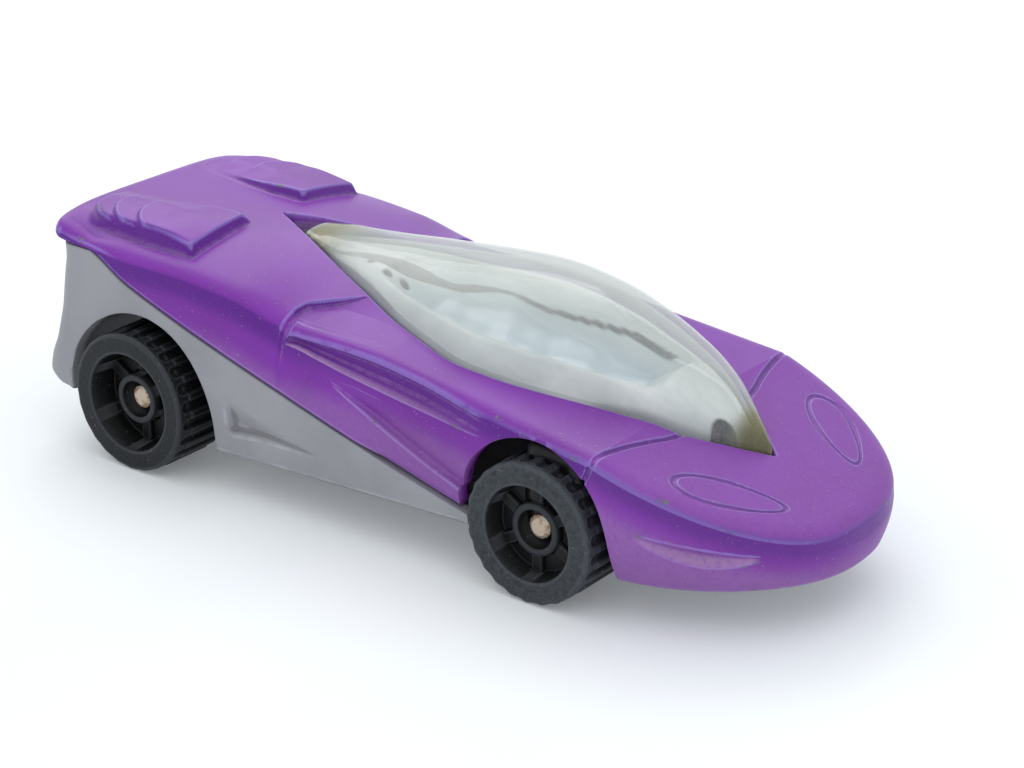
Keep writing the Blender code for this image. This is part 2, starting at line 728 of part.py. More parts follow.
def nose_slot(side):
    """A crescent scooped out of the nose's side: flat above, sloping out to its lower lip."""
    rings = []
    for t in between(0.0, 1.0, 8):
        station = mix(0.13, 0.585, t)
        x, y, z = flank_point(station, mix(SLOT_REAR_Z, SLOT_FRONT_Z, t))
        swell = math.sin(math.pi * mix(0.1, 0.9, t))
        depth = SLOT_DEPTH * swell
        height = SLOT_HEIGHT * swell
        outside = 1.2
        length = math.hypot(x - FRONT_AXLE_X, y)
        out_x = (x - FRONT_AXLE_X) / length
        out_y = y / length
        rings.append([
            (x + out_x * outside, side * (y + out_y * outside), z + 0.1),
            (x - out_x * depth, side * (y - out_y * depth), z),
            (x + out_x * outside, side * (y + out_y * outside), z - height * (depth + outside) / depth)])
    return loft("nose_slot", rings)


def line_cutter(name, path, closed=False):
    """A V-shaped groove along a path of (point, outward direction) pairs."""
    bm = bmesh.new()
    loops = []
    count = len(path)
    for i, (point, outward) in enumerate(path):
        before = path[(i - 1) % count if closed else max(i - 1, 0)][0]
        after = path[(i + 1) % count if closed else min(i + 1, count - 1)][0]
        along = (Vector(after) - Vector(before)).normalized()
        normal = Vector(outward).normalized()
        across = along.cross(normal).normalized()
        top = Vector(point) + normal * LINE_DEPTH
        corners = (top + across * LINE_WIDTH, Vector(point) - normal * LINE_DEPTH, top - across * LINE_WIDTH)
        loops.append([bm.verts.new(world(*corner)) for corner in corners])
    pairs = list(zip(loops, loops[1:]))
    if closed:
        pairs.append((loops[-1], loops[0]))
    else:
        bm.faces.new(loops[0])
        bm.faces.new(loops[-1])
    for near, far in pairs:
        for i in range(3):
            j = (i + 1) % 3
            bm.faces.new((near[i], near[j], far[j], far[i]))
    return finish_mesh(bm, name)


def panel_line(side):
    """The line across the nose from the opening to the arch, over the shoulder."""
    path = []
    over_the_top = ((4.0, 2.2), (5.8, 1.9), (8.1, 1.2), (10.0, 0.7), (11.6, 0.4))
    for y, forward in over_the_top:
        x = PANEL_X + forward
        path.append(((x, side * y, deck_z(x, y)), (0, 0, 1)))
    roll = body_section(0.0)[9]
    path.append(((roll[0] + 0.22, side * roll[1], roll[2]), (0, side * 0.7, 1)))
    for z, back in ((12.5, -0.1), (10.9, -0.85)):
        x, y, z = flank_point(0.0, z)
        path.append(((x + back, side * y, z), (0, side, 0.1)))
    return line_cutter("panel_line", path)


def headlight_line(side):
    """The outline of a headlight on the nose slope, blunter at its rear end."""
    turn = math.radians(HEADLIGHT_ANGLE)
    middle_x = FRONT_AXLE_X + HEADLIGHT_FROM_FRONT_AXLE
    slope = (shoulder_z(NOSE_X) - shoulder_z(PANEL_X)) / (NOSE_X - PANEL_X)
    path = []
    for i in range(20):
        angle = 2 * math.pi * i / 20
        along = HEADLIGHT_LENGTH / 2 * math.cos(angle)
        across = HEADLIGHT_WIDTH / 2 * math.sin(angle) * (1 - 0.25 * math.cos(angle))
        x = middle_x + along * math.cos(turn) - across * math.sin(turn)
        y = HEADLIGHT_Y + along * math.sin(turn) + across * math.cos(turn)
        path.append(((x, side * y, shoulder_z(x)), (-slope, 0, 1)))
    return line_cutter("headlight_line", path, closed=True)


def post_mesh(x, top_z, pan_top_z, pan_bottom_z, name):
    """A body post: thick above the pan, a thin tenon through it and a peened head below."""
    profile = [
        (0.0, top_z), (POST_RADIUS, top_z), (POST_RADIUS, pan_top_z + SEAM_GAP),
        (RIVET_RADIUS, pan_top_z + SEAM_GAP),
        (RIVET_RADIUS, pan_bottom_z + RIVET_HEAD_HEIGHT + RIVET_GAP),
        (RIVET_HEAD_RADIUS, pan_bottom_z + RIVET_HEAD_HEIGHT),
        (0.6 * RIVET_HEAD_RADIUS, pan_bottom_z + RIVET_GAP), (0.0, pan_bottom_z + RIVET_GAP)]
    return turned(name, profile, world(x, 0, 0), 12, "Z", math.pi / 12)


def turned(name, profile, place, steps, axis="Z", turn=0.0):
    """A solid of revolution from (radius, height) points, made with a Screw modifier."""
    bm = bmesh.new()
    verts = [bm.verts.new((radius * MM, 0, height * MM)) for radius, height in profile]
    for near, far in zip(verts, verts[1:]):
        bm.edges.new((near, far))
    mesh = bpy.data.meshes.new(name)
    bm.to_mesh(mesh)
    bm.free()
    helper = bpy.data.objects.new(f"{name}_profile", mesh)
    bpy.context.scene.collection.objects.link(helper)
    screw = helper.modifiers.new("turn", "SCREW")
    screw.axis = "Z"
    screw.steps = steps
    screw.render_steps = steps
    screw.use_merge_vertices = True
    screw.merge_threshold = 0.00001
    result = evaluated_mesh(helper, name)
    bpy.data.objects.remove(helper)
    bm = bmesh.new()
    bm.from_mesh(result)
    bmesh.ops.rotate(bm, cent=(0, 0, 0), matrix=Matrix.Rotation(turn, 3, "Z"), verts=bm.verts)
    if axis == "Y":
        bmesh.ops.rotate(bm, cent=(0, 0, 0), matrix=Matrix.Rotation(-math.pi / 2, 3, "X"), verts=bm.verts)
    bmesh.ops.translate(bm, vec=place, verts=bm.verts)
    return finish_mesh(bm, name)


def pan_bottom(x):
    """Underside of the chassis pan: flat between the axles, following the rim at the ends."""
    tail_rise_x = REAR_AXLE_X - PAN_RISE_FROM_REAR_AXLE
    if x < tail_rise_x:
        return mix(PAN_Z, TAIL_BUMPER_Z, clamp((tail_rise_x - x) / PAN_RISE_LENGTH))
    if x < FRONT_AXLE_X + 5.0:
        return PAN_Z
    front = FRONT_AXLE_X + FRONT_ARCH_RADIUS
    if x < front:
        return mix(PAN_Z, NOSE_RIM_REAR_Z, (x - FRONT_AXLE_X - 5.0) / (FRONT_ARCH_RADIUS - 5.0))
    return skirt_z(x)


def arch_mesh(x, z, radius, side):
    """The round cut that makes a wheel arch, from the wheel well outwards."""
    outside = BELT_Y + 2.0
    middle = side * (WELL_INNER_Y + outside) / 2
    return cylinder_mesh("arch", (x, middle, z), radius, outside - WELL_INNER_Y, "Y", 36)


def build_body(parts, cutters, material):
    body = add_object("body_shell", body_plug(), parts, material)
    boolean(body, add_cutter("cut_body_cavity", body_cavity(), cutters), "DIFFERENCE")
    for side, side_name in ((1, "left"), (-1, "right")):
        for level in range(len(HUMP_STEP_LENGTHS)):
            step = add_cutter(f"add_hump_{side_name}_{level}", hump_step(level, side), cutters)
            boolean(body, step, "UNION")
        boolean(body, add_cutter(f"cut_scoop_{side_name}", scoop_wedge(side), cutters), "DIFFERENCE")
        boolean(body, add_cutter(f"cut_slot_{side_name}", nose_slot(side), cutters), "DIFFERENCE")
        boolean(body, add_cutter(f"cut_panel_line_{side_name}", panel_line(side), cutters), "DIFFERENCE")
        lamp = add_cutter(f"cut_headlight_{side_name}", headlight_line(side), cutters)
        boolean(body, lamp, "DIFFERENCE")
        arch = arch_mesh(FRONT_AXLE_X, FRONT_ARCH_Z, FRONT_ARCH_RADIUS, side)
        boolean(body, add_cutter(f"cut_body_arch_{side_name}", arch, cutters), "DIFFERENCE")
    boolean(body, add_cutter("cut_opening", opening_prism(), cutters), "DIFFERENCE")

    front_post_x = FRONT_AXLE_X + FRONT_POST_FROM_FRONT_AXLE
    rear_post_x = REAR_AXLE_X - REAR_POST_FROM_REAR_AXLE
    for name, x in (("front", front_post_x), ("rear", rear_post_x)):
        bottom = pan_bottom(x)
        top = deck_z(x, 0) - BODY_WALL / 2
        post = post_mesh(x, top, bottom + PAN_THICKNESS + BOSS_HEIGHT, bottom, f"{name}_post")
        boolean(body, add_cutter(f"add_{name}_post", post, cutters), "UNION")
    for side, side_name in ((1, "left"), (-1, "right")):
        low_z = REAR_WHEEL_RADIUS + AXLE_RADIUS + KEEPER_GAP
        y = side * KEEPER_Y
        top = deck_z(REAR_AXLE_X, y) - BODY_WALL / 2
        rib = box_mesh("keeper", (REAR_AXLE_X - KEEPER_LENGTH / 2, y - KEEPER_THICKNESS / 2, low_z),
                       (REAR_AXLE_X + KEEPER_LENGTH / 2, y + KEEPER_THICKNESS / 2, top))
        boolean(body, add_cutter(f"add_keeper_{side_name}", rib, cutters), "UNION")
    return body


# The canopy and the cockpit insert

def canopy_stations(count):
    """Stations from tip to tip, closer together near the ends."""
    rear = OPENING_REAR_X + 1.4
    front = OPENING_FRONT_X - 0.5
    stations = []
    for i in range(count + 1):
        share = (1 - math.cos(math.pi * i / count)) / 2
        stations.append(mix(rear, front, mix(i / count, share, 0.5)))
    return stations


def canopy_lines(x):
    """The canopy's half widths and heights at x: outside, then inside."""
    half = opening_y(x) - CANOPY_GAP
    base = deck_z(x, half)
    ridge = max(canopy_ridge_z(x), base - 0.4)
    flange_top = base - BODY_WALL - CANOPY_FLANGE_DROP
    spring = min(base, mix(flange_top, ridge, 0.8))
    inner_half = max(half - CANOPY_WALL, 0.3 * half)
    inner_ridge = max(ridge - CANOPY_WALL, flange_top - CANOPY_WALL + 0.3)
    inner_spring = min(spring, mix(flange_top - CANOPY_WALL, inner_ridge, 0.7))
    return (half, flange_top, spring, ridge), (inner_half, flange_top - CANOPY_WALL, inner_spring, inner_ridge)


def canopy_section(x, arc_steps=6):
    """Closed section of the canopy: flange, skirt through the deck, and dome."""
    sides = []
    for half, flange_z, spring, ridge in canopy_lines(x):
        flange_edge = opening_y(x) - CANOPY_GAP + CANOPY_FLANGE
        side = [(x, flange_edge, flange_z), (x, half, flange_z)]
        for angle in between(0.0, math.pi / 2, arc_steps):
            side.append((x, half * math.cos(angle), mix(spring, ridge, math.sin(angle))))
        side[-1] = (x, 0.0, ridge)
        sides.append(side + [(px, -py, pz) for px, py, pz in side[-2::-1]])
    return sides[0] + sides[1][::-1]


def build_canopy(parts, material):
    rings = [canopy_section(x) for x in canopy_stations(18)]
    return add_object("canopy", loft("canopy", rings), parts, material)


def offset_line(points, distance):
    """A line of (y, z) points moved sideways by a distance, to its right."""
    moved = []
    for i, point in enumerate(points):
        before = Vector(points[max(i - 1, 0)])
        here = Vector(point)
        after = Vector(points[min(i + 1, len(points) - 1)])
        sides = []
        for start, end in ((before, here), (here, after)):
            run = end - start
            if run.length > 0:
                sides.append(Vector((run.y, -run.x)).normalized())
        middle = (sides[0] + sides[-1]).normalized()
        stretch = 1 / max(0.5, middle.dot(sides[0]))
        moved.append(tuple(here + middle * distance * stretch))
    return moved


def insert_lines(x):
    """Half of the insert's top and bottom lines, from the rim to the centre plane. Wide
    sections have a coaming round an open cockpit; narrow ones close up into a low dome."""
    inner_half, canopy_bottom, spring, ridge = canopy_lines(x)[1]
    skirt = inner_half - INSERT_GAP
    rim_z = canopy_bottom - INSERT_GAP
    rim_y = inner_half + 0.5 * CANOPY_FLANGE
    wall_top = spring - INSERT_GAP
    headroom = ridge - INSERT_GAP - wall_top
    angles = (0.0, 0.25, 0.5, 0.8, 1.05, 1.3, math.pi / 2)

    wall = min(INSERT_WALL, 0.35 * skirt)
    domes = []
    for inset in (0.0, wall):
        rise = 0.8 * headroom - inset
        dome = [(rim_y, rim_z - inset), (skirt - inset, rim_z - inset)]
        for angle in angles:
            dome.append(((skirt - inset) * math.cos(angle), wall_top + rise * math.sin(angle)))
        dome[-1] = (0.0, wall_top + rise)
        domes.append(dome)

    coaming_z = wall_top + 0.4 * headroom
    seat_x = mix(OPENING_REAR_X, OPENING_FRONT_X, 0.42)
    seat = SEAT_HEIGHT * math.exp(-((x - seat_x) / 3.5) ** 2)
    floor_z = deck_z(x, inner_half) - COCKPIT_DEPTH + seat
    tub = [(rim_y, rim_z), (skirt, rim_z), (skirt, wall_top),
           (0.93 * skirt, mix(wall_top, coaming_z, 0.7)), (0.8 * skirt, coaming_z),
           (0.66 * skirt, mix(coaming_z, floor_z, 0.12)), (0.55 * skirt, mix(coaming_z, floor_z, 0.8)),
           (0.42 * skirt, floor_z), (0.0, floor_z)]
    openness = smooth_curve([(4.5, 0.0), (6.0, 1.0)], skirt)
    if openness == 0:
        return domes
    top = [(mix(ay, by, openness), mix(az, bz, openness)) for (ay, az), (by, bz) in zip(domes[0], tub)]
    tub_wall = min(INSERT_WALL, 0.14 * skirt)
    under = offset_line(top, -tub_wall)
    under[0] = (rim_y, rim_z - tub_wall)
    under[-1] = (0.0, under[-1][1])
    return top, under


def insert_section(x):
    """Closed section of the insert."""
    top, under = insert_lines(x)
    across = top + [(-y, z) for y, z in top[-2::-1]]
    back = under + [(-y, z) for y, z in under[-2::-1]]
    return [(x, y, z) for y, z in across + back[::-1]]


def build_insert(parts, cutters, material):
    """The metallised insert: a coaming under the canopy round a shallow cockpit."""
    rear = OPENING_REAR_X + INSERT_REAR_SETBACK
    front = OPENING_FRONT_X - INSERT_FRONT_SETBACK
    stations = between(rear, FRONT_AXLE_X, 10) + between(FRONT_AXLE_X, front, 4)[1:]
    rings = [insert_section(x) for x in stations]
    insert = add_object("cockpit_insert", loft("cockpit_insert", rings), parts, material)
    low_z = FRONT_WHEEL_RADIUS + AXLE_RADIUS + KEEPER_GAP
    for side, side_name in ((1, "left"), (-1, "right")):
        y = side * KEEPER_LEG_Y
        top = insert_lines(FRONT_AXLE_X)[0][-1][1] - INSERT_WALL / 2
        leg = box_mesh("leg", (FRONT_AXLE_X - KEEPER_LEG_LENGTH / 2, y - KEEPER_THICKNESS / 2, low_z),
                       (FRONT_AXLE_X + KEEPER_LEG_LENGTH / 2, y + KEEPER_THICKNESS / 2, top))
        boolean(insert, add_cutter(f"add_leg_{side_name}", leg, cutters), "UNION")
    return insert


# The chassis

def tub_section(x, tail_blend, inset, steps):
    """Half section of the chassis tub, from its top edge down the flank to the pan. Near
    the tail the points slide back onto the rear face."""
    body_edge_z = lower_edge_z(x)
    top_z = body_edge_z - SEAM_GAP + (2.0 if inset else 0.0)
    sill = smooth_curve([(REAR_AXLE_X, SILL_REAR_Z), (ARCH_REAR_EDGE_X, SILL_FRONT_Z)], x)
    bottom = pan_bottom(x) + inset * PAN_THICKNESS / CHASSIS_WALL
    sill = max(sill, pan_bottom(x)) + inset * PAN_THICKNESS / CHASSIS_WALL
    face_x = TAIL_X + TAIL_TUCK
    corner = clamp((face_x + TAIL_CORNER_ROUND - x) / TAIL_CORNER_ROUND)
    bite = TAIL_CORNER_ROUND * (1 - math.sqrt(1 - corner * corner))
    points = []
    for z in between(top_z, sill, steps):
        slide = (tail_x_at(z) - face_x) * tail_blend
        points.append((x + slide, side_y(x, min(z, body_edge_z)) - inset - 0.5 * bite, z))
    slide = (tail_x_at(sill) - face_x) * tail_blend
    points.append((x + slide, PAN_HALF_WIDTH - inset, bottom))
    return points


def tub_solid(name, inset, count, steps):
    """The tub's outside, or with an inset the hollow in it, open above and in front."""
    start = TAIL_X + TAIL_TUCK + inset
    end = ARCH_REAR_EDGE_X + 0.6 + (3.0 if inset else 0.0)
    rings = []
    for x in between(start, start + TAIL_BLEND, 4) + between(start + TAIL_BLEND, end, count)[1:]:
        half = tub_section(x, clamp(1 - (x - start) / TAIL_BLEND), inset, steps)
        rings.append(half + [(px, -py, pz) for px, py, pz in half[::-1]])
    return loft(name, rings)


def front_pan():
    """The pan ahead of the tub, filling the nose. The arch cuts narrow it between the wheels."""
    inset = BODY_WALL + NOSE_PAN_GAP
    half_width = NOSE_RIM_Y - inset
    outline = [(x, half_width) for x in between(ARCH_REAR_EDGE_X - 2.0, PANEL_X, 5)]
    for station in between(0.0, 0.88, 10)[1:]:
        outline.append(level_point(station, half_width, NOSE_X - inset, 1.75, 2.3))
    sections = []
    for x, y in outline:
        bottom = pan_bottom(x)
        top = bottom + PAN_THICKNESS
        sections.append([(x, y, top), (x, y, bottom), (x, -y, bottom), (x, -y, top)])
    return loft("front_pan", sections)


def saddle_block(axle_x, axle_z, middle_y):
    """An upright across the car with a U-shaped slot for the axle."""
    top = axle_z + AXLE_RADIUS + SADDLE_LIP
    bottom = PAN_Z + 0.3
    slot = AXLE_RADIUS + SADDLE_GAP
    outline = [(axle_x + SADDLE_LENGTH / 2, bottom), (axle_x + SADDLE_LENGTH / 2, top),
               (axle_x + slot, top)]
    for angle in between(0.0, math.pi, 6):
        outline.append((axle_x + slot * math.cos(angle), axle_z - slot * math.sin(angle)))
    outline += [(axle_x - slot, top), (axle_x - SADDLE_LENGTH / 2, top), (axle_x - SADDLE_LENGTH / 2, bottom)]
    rings = []
    for y in (middle_y - SADDLE_THICKNESS / 2, middle_y + SADDLE_THICKNESS / 2):
        rings.append([(x, y, z) for x, z in outline])
    return loft("saddle", rings)


def recess_wedge(side):
    """The triangular recess in the flank of the chassis."""
    rear_x = REAR_AXLE_X + RECESS_FROM_REAR_AXLE
    inner_y = side_y(rear_x, RECESS_LOW_Z) - RECESS_DEPTH
    outline = [(rear_x, RECESS_LOW_Z), (rear_x, RECESS_LOW_Z + RECESS_HEIGHT),
               (rear_x + RECESS_LENGTH, RECESS_LOW_Z + 0.5)]
    inner = [(x, side * inner_y, z) for x, z in outline]
    outer = [(x, side * (BELT_Y + 1), z) for x, z in outline]
    return loft("recess_wedge", [inner, outer])


def build_chassis(parts, cutters, material):
    chassis = add_object("chassis", tub_solid("tub", 0.0, 13, 7), parts, material)
    hollow = tub_solid("tub_hollow", CHASSIS_WALL, 9, 4)
    boolean(chassis, add_cutter("cut_tub_hollow", hollow, cutters), "DIFFERENCE")
    boolean(chassis, add_cutter("add_front_pan", front_pan(), cutters), "UNION")

    ends = (("front", FRONT_AXLE_X, FRONT_WHEEL_RADIUS, FRONT_AXLE_X, FRONT_ARCH_Z, FRONT_ARCH_RADIUS),
            ("rear", REAR_AXLE_X, REAR_WHEEL_RADIUS, REAR_AXLE_X + REAR_ARCH_FORWARD, REAR_ARCH_Z,
             REAR_ARCH_RADIUS))
    for end, axle_x, axle_z, arch_x, arch_z, arch_radius in ends:
        for side, side_name in ((1, "left"), (-1, "right")):
            label = f"{end}_{side_name}"
            arch = arch_mesh(arch_x, arch_z, arch_radius, side)
            boolean(chassis, add_cutter(f"cut_arch_{label}", arch, cutters), "DIFFERENCE")
            saddle = saddle_block(axle_x, axle_z, side * SADDLE_Y)
            boolean(chassis, add_cutter(f"add_saddle_{label}", saddle, cutters), "UNION")
    for side, side_name in ((1, "left"), (-1, "right")):
        recess = recess_wedge(side)
        boolean(chassis, add_cutter(f"cut_recess_{side_name}", recess, cutters), "DIFFERENCE")

    front_post_x = FRONT_AXLE_X + FRONT_POST_FROM_FRONT_AXLE
    rear_post_x = REAR_AXLE_X - REAR_POST_FROM_REAR_AXLE
    for name, x in (("front", front_post_x), ("rear", rear_post_x)):
        bottom = pan_bottom(x)
        top = bottom + PAN_THICKNESS + BOSS_HEIGHT
        boss = cylinder_mesh("boss", (x, 0, (bottom + 0.3 + top) / 2), POST_RADIUS + 0.6,
                             top - bottom - 0.3, "Z", 16)
        boolean(chassis, add_cutter(f"add_boss_{name}", boss, cutters), "UNION")
        hole = cylinder_mesh("hole", (x, 0, bottom), RIVET_RADIUS + RIVET_GAP, 8.0, "Z", 16)
        boolean(chassis, add_cutter(f"cut_hole_{name}", hole, cutters), "DIFFERENCE")
        sink = cylinder_mesh("sink", (x, 0, bottom + RIVET_HEAD_HEIGHT + 2 * RIVET_GAP - 2.0),
                             RIVET_HEAD_RADIUS + RIVET_GAP, 4.0, "Z", 16)
        boolean(chassis, add_cutter(f"cut_sink_{name}", sink, cutters), "DIFFERENCE")
    return chassis


# Wheels and axles

def axle_head_y(outer_y):
    return outer_y - AXLE_HEAD_INSET


def build_axle(name, x, z, outer_y, parts, material):
    """A steel pin with a peened head at each end."""
    end = axle_head_y(outer_y)
    neck = end - AXLE_HEAD_LENGTH
    profile = [
        (0.0, end), (0.7 * AXLE_HEAD_RADIUS, end), (AXLE_HEAD_RADIUS, end - 0.2),
        (AXLE_HEAD_RADIUS, neck), (AXLE_RADIUS, neck),
        (AXLE_RADIUS, -neck), (AXLE_HEAD_RADIUS, -neck),
        (AXLE_HEAD_RADIUS, 0.2 - end), (0.7 * AXLE_HEAD_RADIUS, -end), (0.0, -end)]
    mesh = turned(name, profile, Vector((0, 0, 0)), 14, "Y")
    axle = add_object(name, mesh, parts, material)
    axle.location = world(x, 0, z)
    return axle


def add_prism(bm, size, sides):
    """A bar of the given (x, y, z) size in millimetres, square or six-sided along Y."""
    if sides == 4:
        made = bmesh.ops.create_cube(bm, size=1.0)["verts"]
    else:
        made = bmesh.ops.create_cone(bm, cap_ends=True, segments=sides, radius1=0.5, radius2=0.5,
                                     depth=1.0)["verts"]
        bmesh.ops.rotate(bm, cent=(0, 0, 0), matrix=Matrix.Rotation(math.pi / 2, 3, "X"), verts=made)
    bmesh.ops.scale(bm, vec=Vector(size) * MM, verts=made)
    return made


def bar_pattern(name, count, size, place, sides):
    """Equal bars set round the wheel's axis, the first one half a step round from place."""
    bm = bmesh.new()
    for i in range(count):
        made = add_prism(bm, size, sides)
        bmesh.ops.translate(bm, vec=Vector(place) * MM, verts=made)
        turn = Matrix.Rotation(2 * math.pi * (i + 0.5) / count, 3, "Y")
        bmesh.ops.rotate(bm, cent=(0, 0, 0), matrix=turn, verts=made)
    return finish_mesh(bm, name)


def wheel_mesh(name, radius, outer_y, dish_radius, dish_depth, collection):
    """A one-piece moulded wheel about its own centre, outer face towards +Y: flat sidewall,
    deep dish with spokes, hub with a counterbore, and grooves that make lugs of the tread."""
    middle = outer_y - WHEEL_WIDTH / 2
    face = outer_y - middle
    back = -WHEEL_WIDTH / 2
    seat = axle_head_y(outer_y) - AXLE_HEAD_LENGTH - AXLE_SEAT_GAP - middle
    hub_face = face - HUB_FACE_SETBACK
    hub_back = back + HUB_BACK_SETBACK
    dish_floor = face - dish_depth
    web_back = dish_floor - WEB_THICKNESS
    profile = [
        (HUB_BORE_RADIUS, seat), (HUB_COUNTERBORE_RADIUS, seat), (HUB_COUNTERBORE_RADIUS, hub_face),
        (HUB_RADIUS, hub_face), (HUB_RADIUS, dish_floor), (dish_radius - DISH_DRAFT, dish_floor),
        (dish_radius, face), (radius - SIDEWALL_CHAMFER[0], face), (radius, face - SIDEWALL_CHAMFER[1]),
        (radius, back), (dish_radius, back), (dish_radius - DISH_DRAFT, web_back),
        (HUB_RADIUS, web_back), (HUB_RADIUS, hub_back), (HUB_BORE_RADIUS, hub_back),
        (HUB_BORE_RADIUS, seat)]
    blank = add_object(f"{name}_blank", turned(name, profile[::-1], Vector((0, 0, 0)), TREAD_LUGS, "Y"),
                       collection)
    spoke_size = (dish_radius - HUB_RADIUS + 0.3, SPOKE_HEIGHT, SPOKE_WIDTH)
    spoke_place = ((dish_radius + HUB_RADIUS) / 2, dish_floor + 0.1, 0)
    spokes = add_object(f"{name}_spokes", bar_pattern("spokes", SPOKES, spoke_size, spoke_place, 4), collection)
    groove_size = (TREAD_GROOVE_WIDTH, WHEEL_WIDTH + 2, TREAD_GROOVE_WIDTH)
    groove_place = (radius - TREAD_DEPTH + TREAD_GROOVE_WIDTH / 2, 0, 0)
    grooves = add_object(f"{name}_grooves", bar_pattern("grooves", TREAD_LUGS, groove_size, groove_place, 6),
                         collection)
    boolean(blank, spokes, "UNION")
    boolean(blank, grooves, "DIFFERENCE")
    mesh = evaluated_mesh(blank, name)
    for helper in (blank, spokes, grooves):
        bpy.data.objects.remove(helper)
    return mesh


def build_wheels(parts, material):
    kinds = (("front", FRONT_AXLE_X, FRONT_WHEEL_RADIUS, FRONT_WHEEL_OUTER_Y, FRONT_DISH_RADIUS, FRONT_DISH_DEPTH),
             ("rear", REAR_AXLE_X, REAR_WHEEL_RADIUS, REAR_WHEEL_OUTER_Y, REAR_DISH_RADIUS, REAR_DISH_DEPTH))
    for end, x, radius, outer_y, dish_radius, dish_depth in kinds:
        mesh = wheel_mesh(f"{end}_wheel", radius, outer_y, dish_radius, dish_depth, parts)
        mesh.materials.clear()
        mesh.materials.append(material)
        for side, side_name in ((1, "left"), (-1, "right")):
            wheel = add_object(f"{end}_{side_name}_wheel", mesh, parts)
            wheel.location = world(x, side * (outer_y - WHEEL_WIDTH / 2), radius)
            wheel.rotation_euler = (0, 0, 0 if side > 0 else math.pi)


def main():
    for thing in list(bpy.data.objects):
        bpy.data.objects.remove(thing)
    parts = make_collection(COLLECTION_NAME)
    cutters = make_collection("cutters")

    enamel = make_material("purple_enamel", (0.27, 0.09, 0.45), 0.35)
    clear = make_material("clear_styrene", (0.75, 0.8, 0.75), 0.1, alpha=0.4)
    metallised = make_material("metallised_styrene", (0.8, 0.82, 0.82), 0.25, metallic=0.9)
    grey = make_material("grey_moulding", (0.27, 0.27, 0.28), 0.6)
    black = make_material("black_moulding", (0.02, 0.02, 0.022), 0.5)
    steel = make_material("steel_pin", (0.6, 0.5, 0.42), 0.4, metallic=1.0)

    build_body(parts, cutters, enamel)
    build_canopy(parts, clear)
    build_insert(parts, cutters, metallised)
    build_chassis(parts, cutters, grey)
    build_axle("front_axle", FRONT_AXLE_X, FRONT_WHEEL_RADIUS, FRONT_WHEEL_OUTER_Y, parts, steel)
    build_axle("rear_axle", REAR_AXLE_X, REAR_WHEEL_RADIUS, REAR_WHEEL_OUTER_Y, parts, steel)
    build_wheels(parts, black)


main()
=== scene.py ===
import math

import bpy
import numpy as np
from mathutils import Matrix, Vector


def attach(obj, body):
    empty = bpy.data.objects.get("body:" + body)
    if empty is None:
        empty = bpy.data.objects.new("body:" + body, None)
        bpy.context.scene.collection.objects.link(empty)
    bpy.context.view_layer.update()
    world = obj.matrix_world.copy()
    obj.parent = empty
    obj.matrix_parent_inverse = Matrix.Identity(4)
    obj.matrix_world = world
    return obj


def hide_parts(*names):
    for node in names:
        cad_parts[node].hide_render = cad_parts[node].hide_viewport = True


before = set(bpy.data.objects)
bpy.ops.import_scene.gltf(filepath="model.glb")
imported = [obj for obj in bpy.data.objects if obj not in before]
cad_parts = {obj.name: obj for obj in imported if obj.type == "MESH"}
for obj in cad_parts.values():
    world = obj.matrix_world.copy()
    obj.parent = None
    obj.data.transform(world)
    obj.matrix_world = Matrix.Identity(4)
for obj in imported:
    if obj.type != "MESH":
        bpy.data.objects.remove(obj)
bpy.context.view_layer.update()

# Lengths are millimetres in the drawing frame: x = 0 between the axles, z = 0 on the ground.
car = {
    "centreX": 5.05, "tail": -32.3, "nose": 42.1, "notch": -4.6, "panel": 26.4, "humpFront": -16.6,
    "frontAxle": (21, 5.9), "rearAxle": (-21, 6.2), "posts": ((36.9, 3.93), (-24.6, 3)),  # (x, z)
    "shoulderNose": 8.4, "shoulderPanel": 13.6, "noseSpread": 0.2}


def hexLinear(code):  # an sRGB hex colour as linear light
    out = []
    for i in (1, 3, 5):
        value = int(code[i:i + 2], 16) / 255
        out.append(value / 12.92 if value <= 0.04045 else ((value + 0.055) / 1.055) ** 2.4)
    return (*out, 1)


def smoothCurve(points, x):  # a curve through (x, value) points that never overshoots them
    px, py = np.array(points, float).T
    x = np.clip(np.asarray(x, float), px[0], px[-1])
    slope = np.diff(py) / np.diff(px)
    tangent = np.zeros(len(px))
    tangent[0], tangent[-1] = slope[0], slope[-1]
    a, b = slope[:-1], slope[1:]
    same = a * b > 0
    tangent[1:-1] = np.where(same, 2 * a * b / np.where(same, a + b, 1), 0)
    i = np.clip(np.searchsorted(px, x, "right") - 1, 0, len(slope) - 1)
    span = px[i + 1] - px[i]
    t = (x - px[i]) / span
    start = (2 * t ** 3 - 3 * t ** 2 + 1) * py[i] + (t ** 3 - 2 * t ** 2 + t) * span * tangent[i]
    end = (3 * t ** 2 - 2 * t ** 3) * py[i + 1] + (t ** 3 - t ** 2) * span * tangent[i + 1]
    return start + end


def unit(value):
    return np.clip(value, 0, 1)


def ramp(a, b, x):  # eased step from 0 at a to 1 at b
    t = unit((np.asarray(x, float) - a) / (b - a))
    return t * t * (3 - 2 * t)


def mix(a, b, t):
    return a + (b - a) * t


def shoulderZ(x):
    slope = (car["shoulderNose"] - car["shoulderPanel"]) / (car["nose"] - car["panel"])
    behind = smoothCurve([
        (-32.3, 19.3), (-26.76, 18.5), (-18.45, 18.5), (-10.97, 17.99), (-4.6, 16.75),
        (2.84, 16.37), (15.24, 14.86), (26.4, 13.6)], x)
    return np.where(x > car["panel"], car["shoulderPanel"] + slope * (x - car["panel"]), behind)


def deckCentreZ(x):
    behind = smoothCurve([(-32.3, 20.45), (-16.2, 20.25), (-4.6, 18.9), (26.4, 13.6)], x)
    return np.where(x > car["panel"], shoulderZ(x), behind)


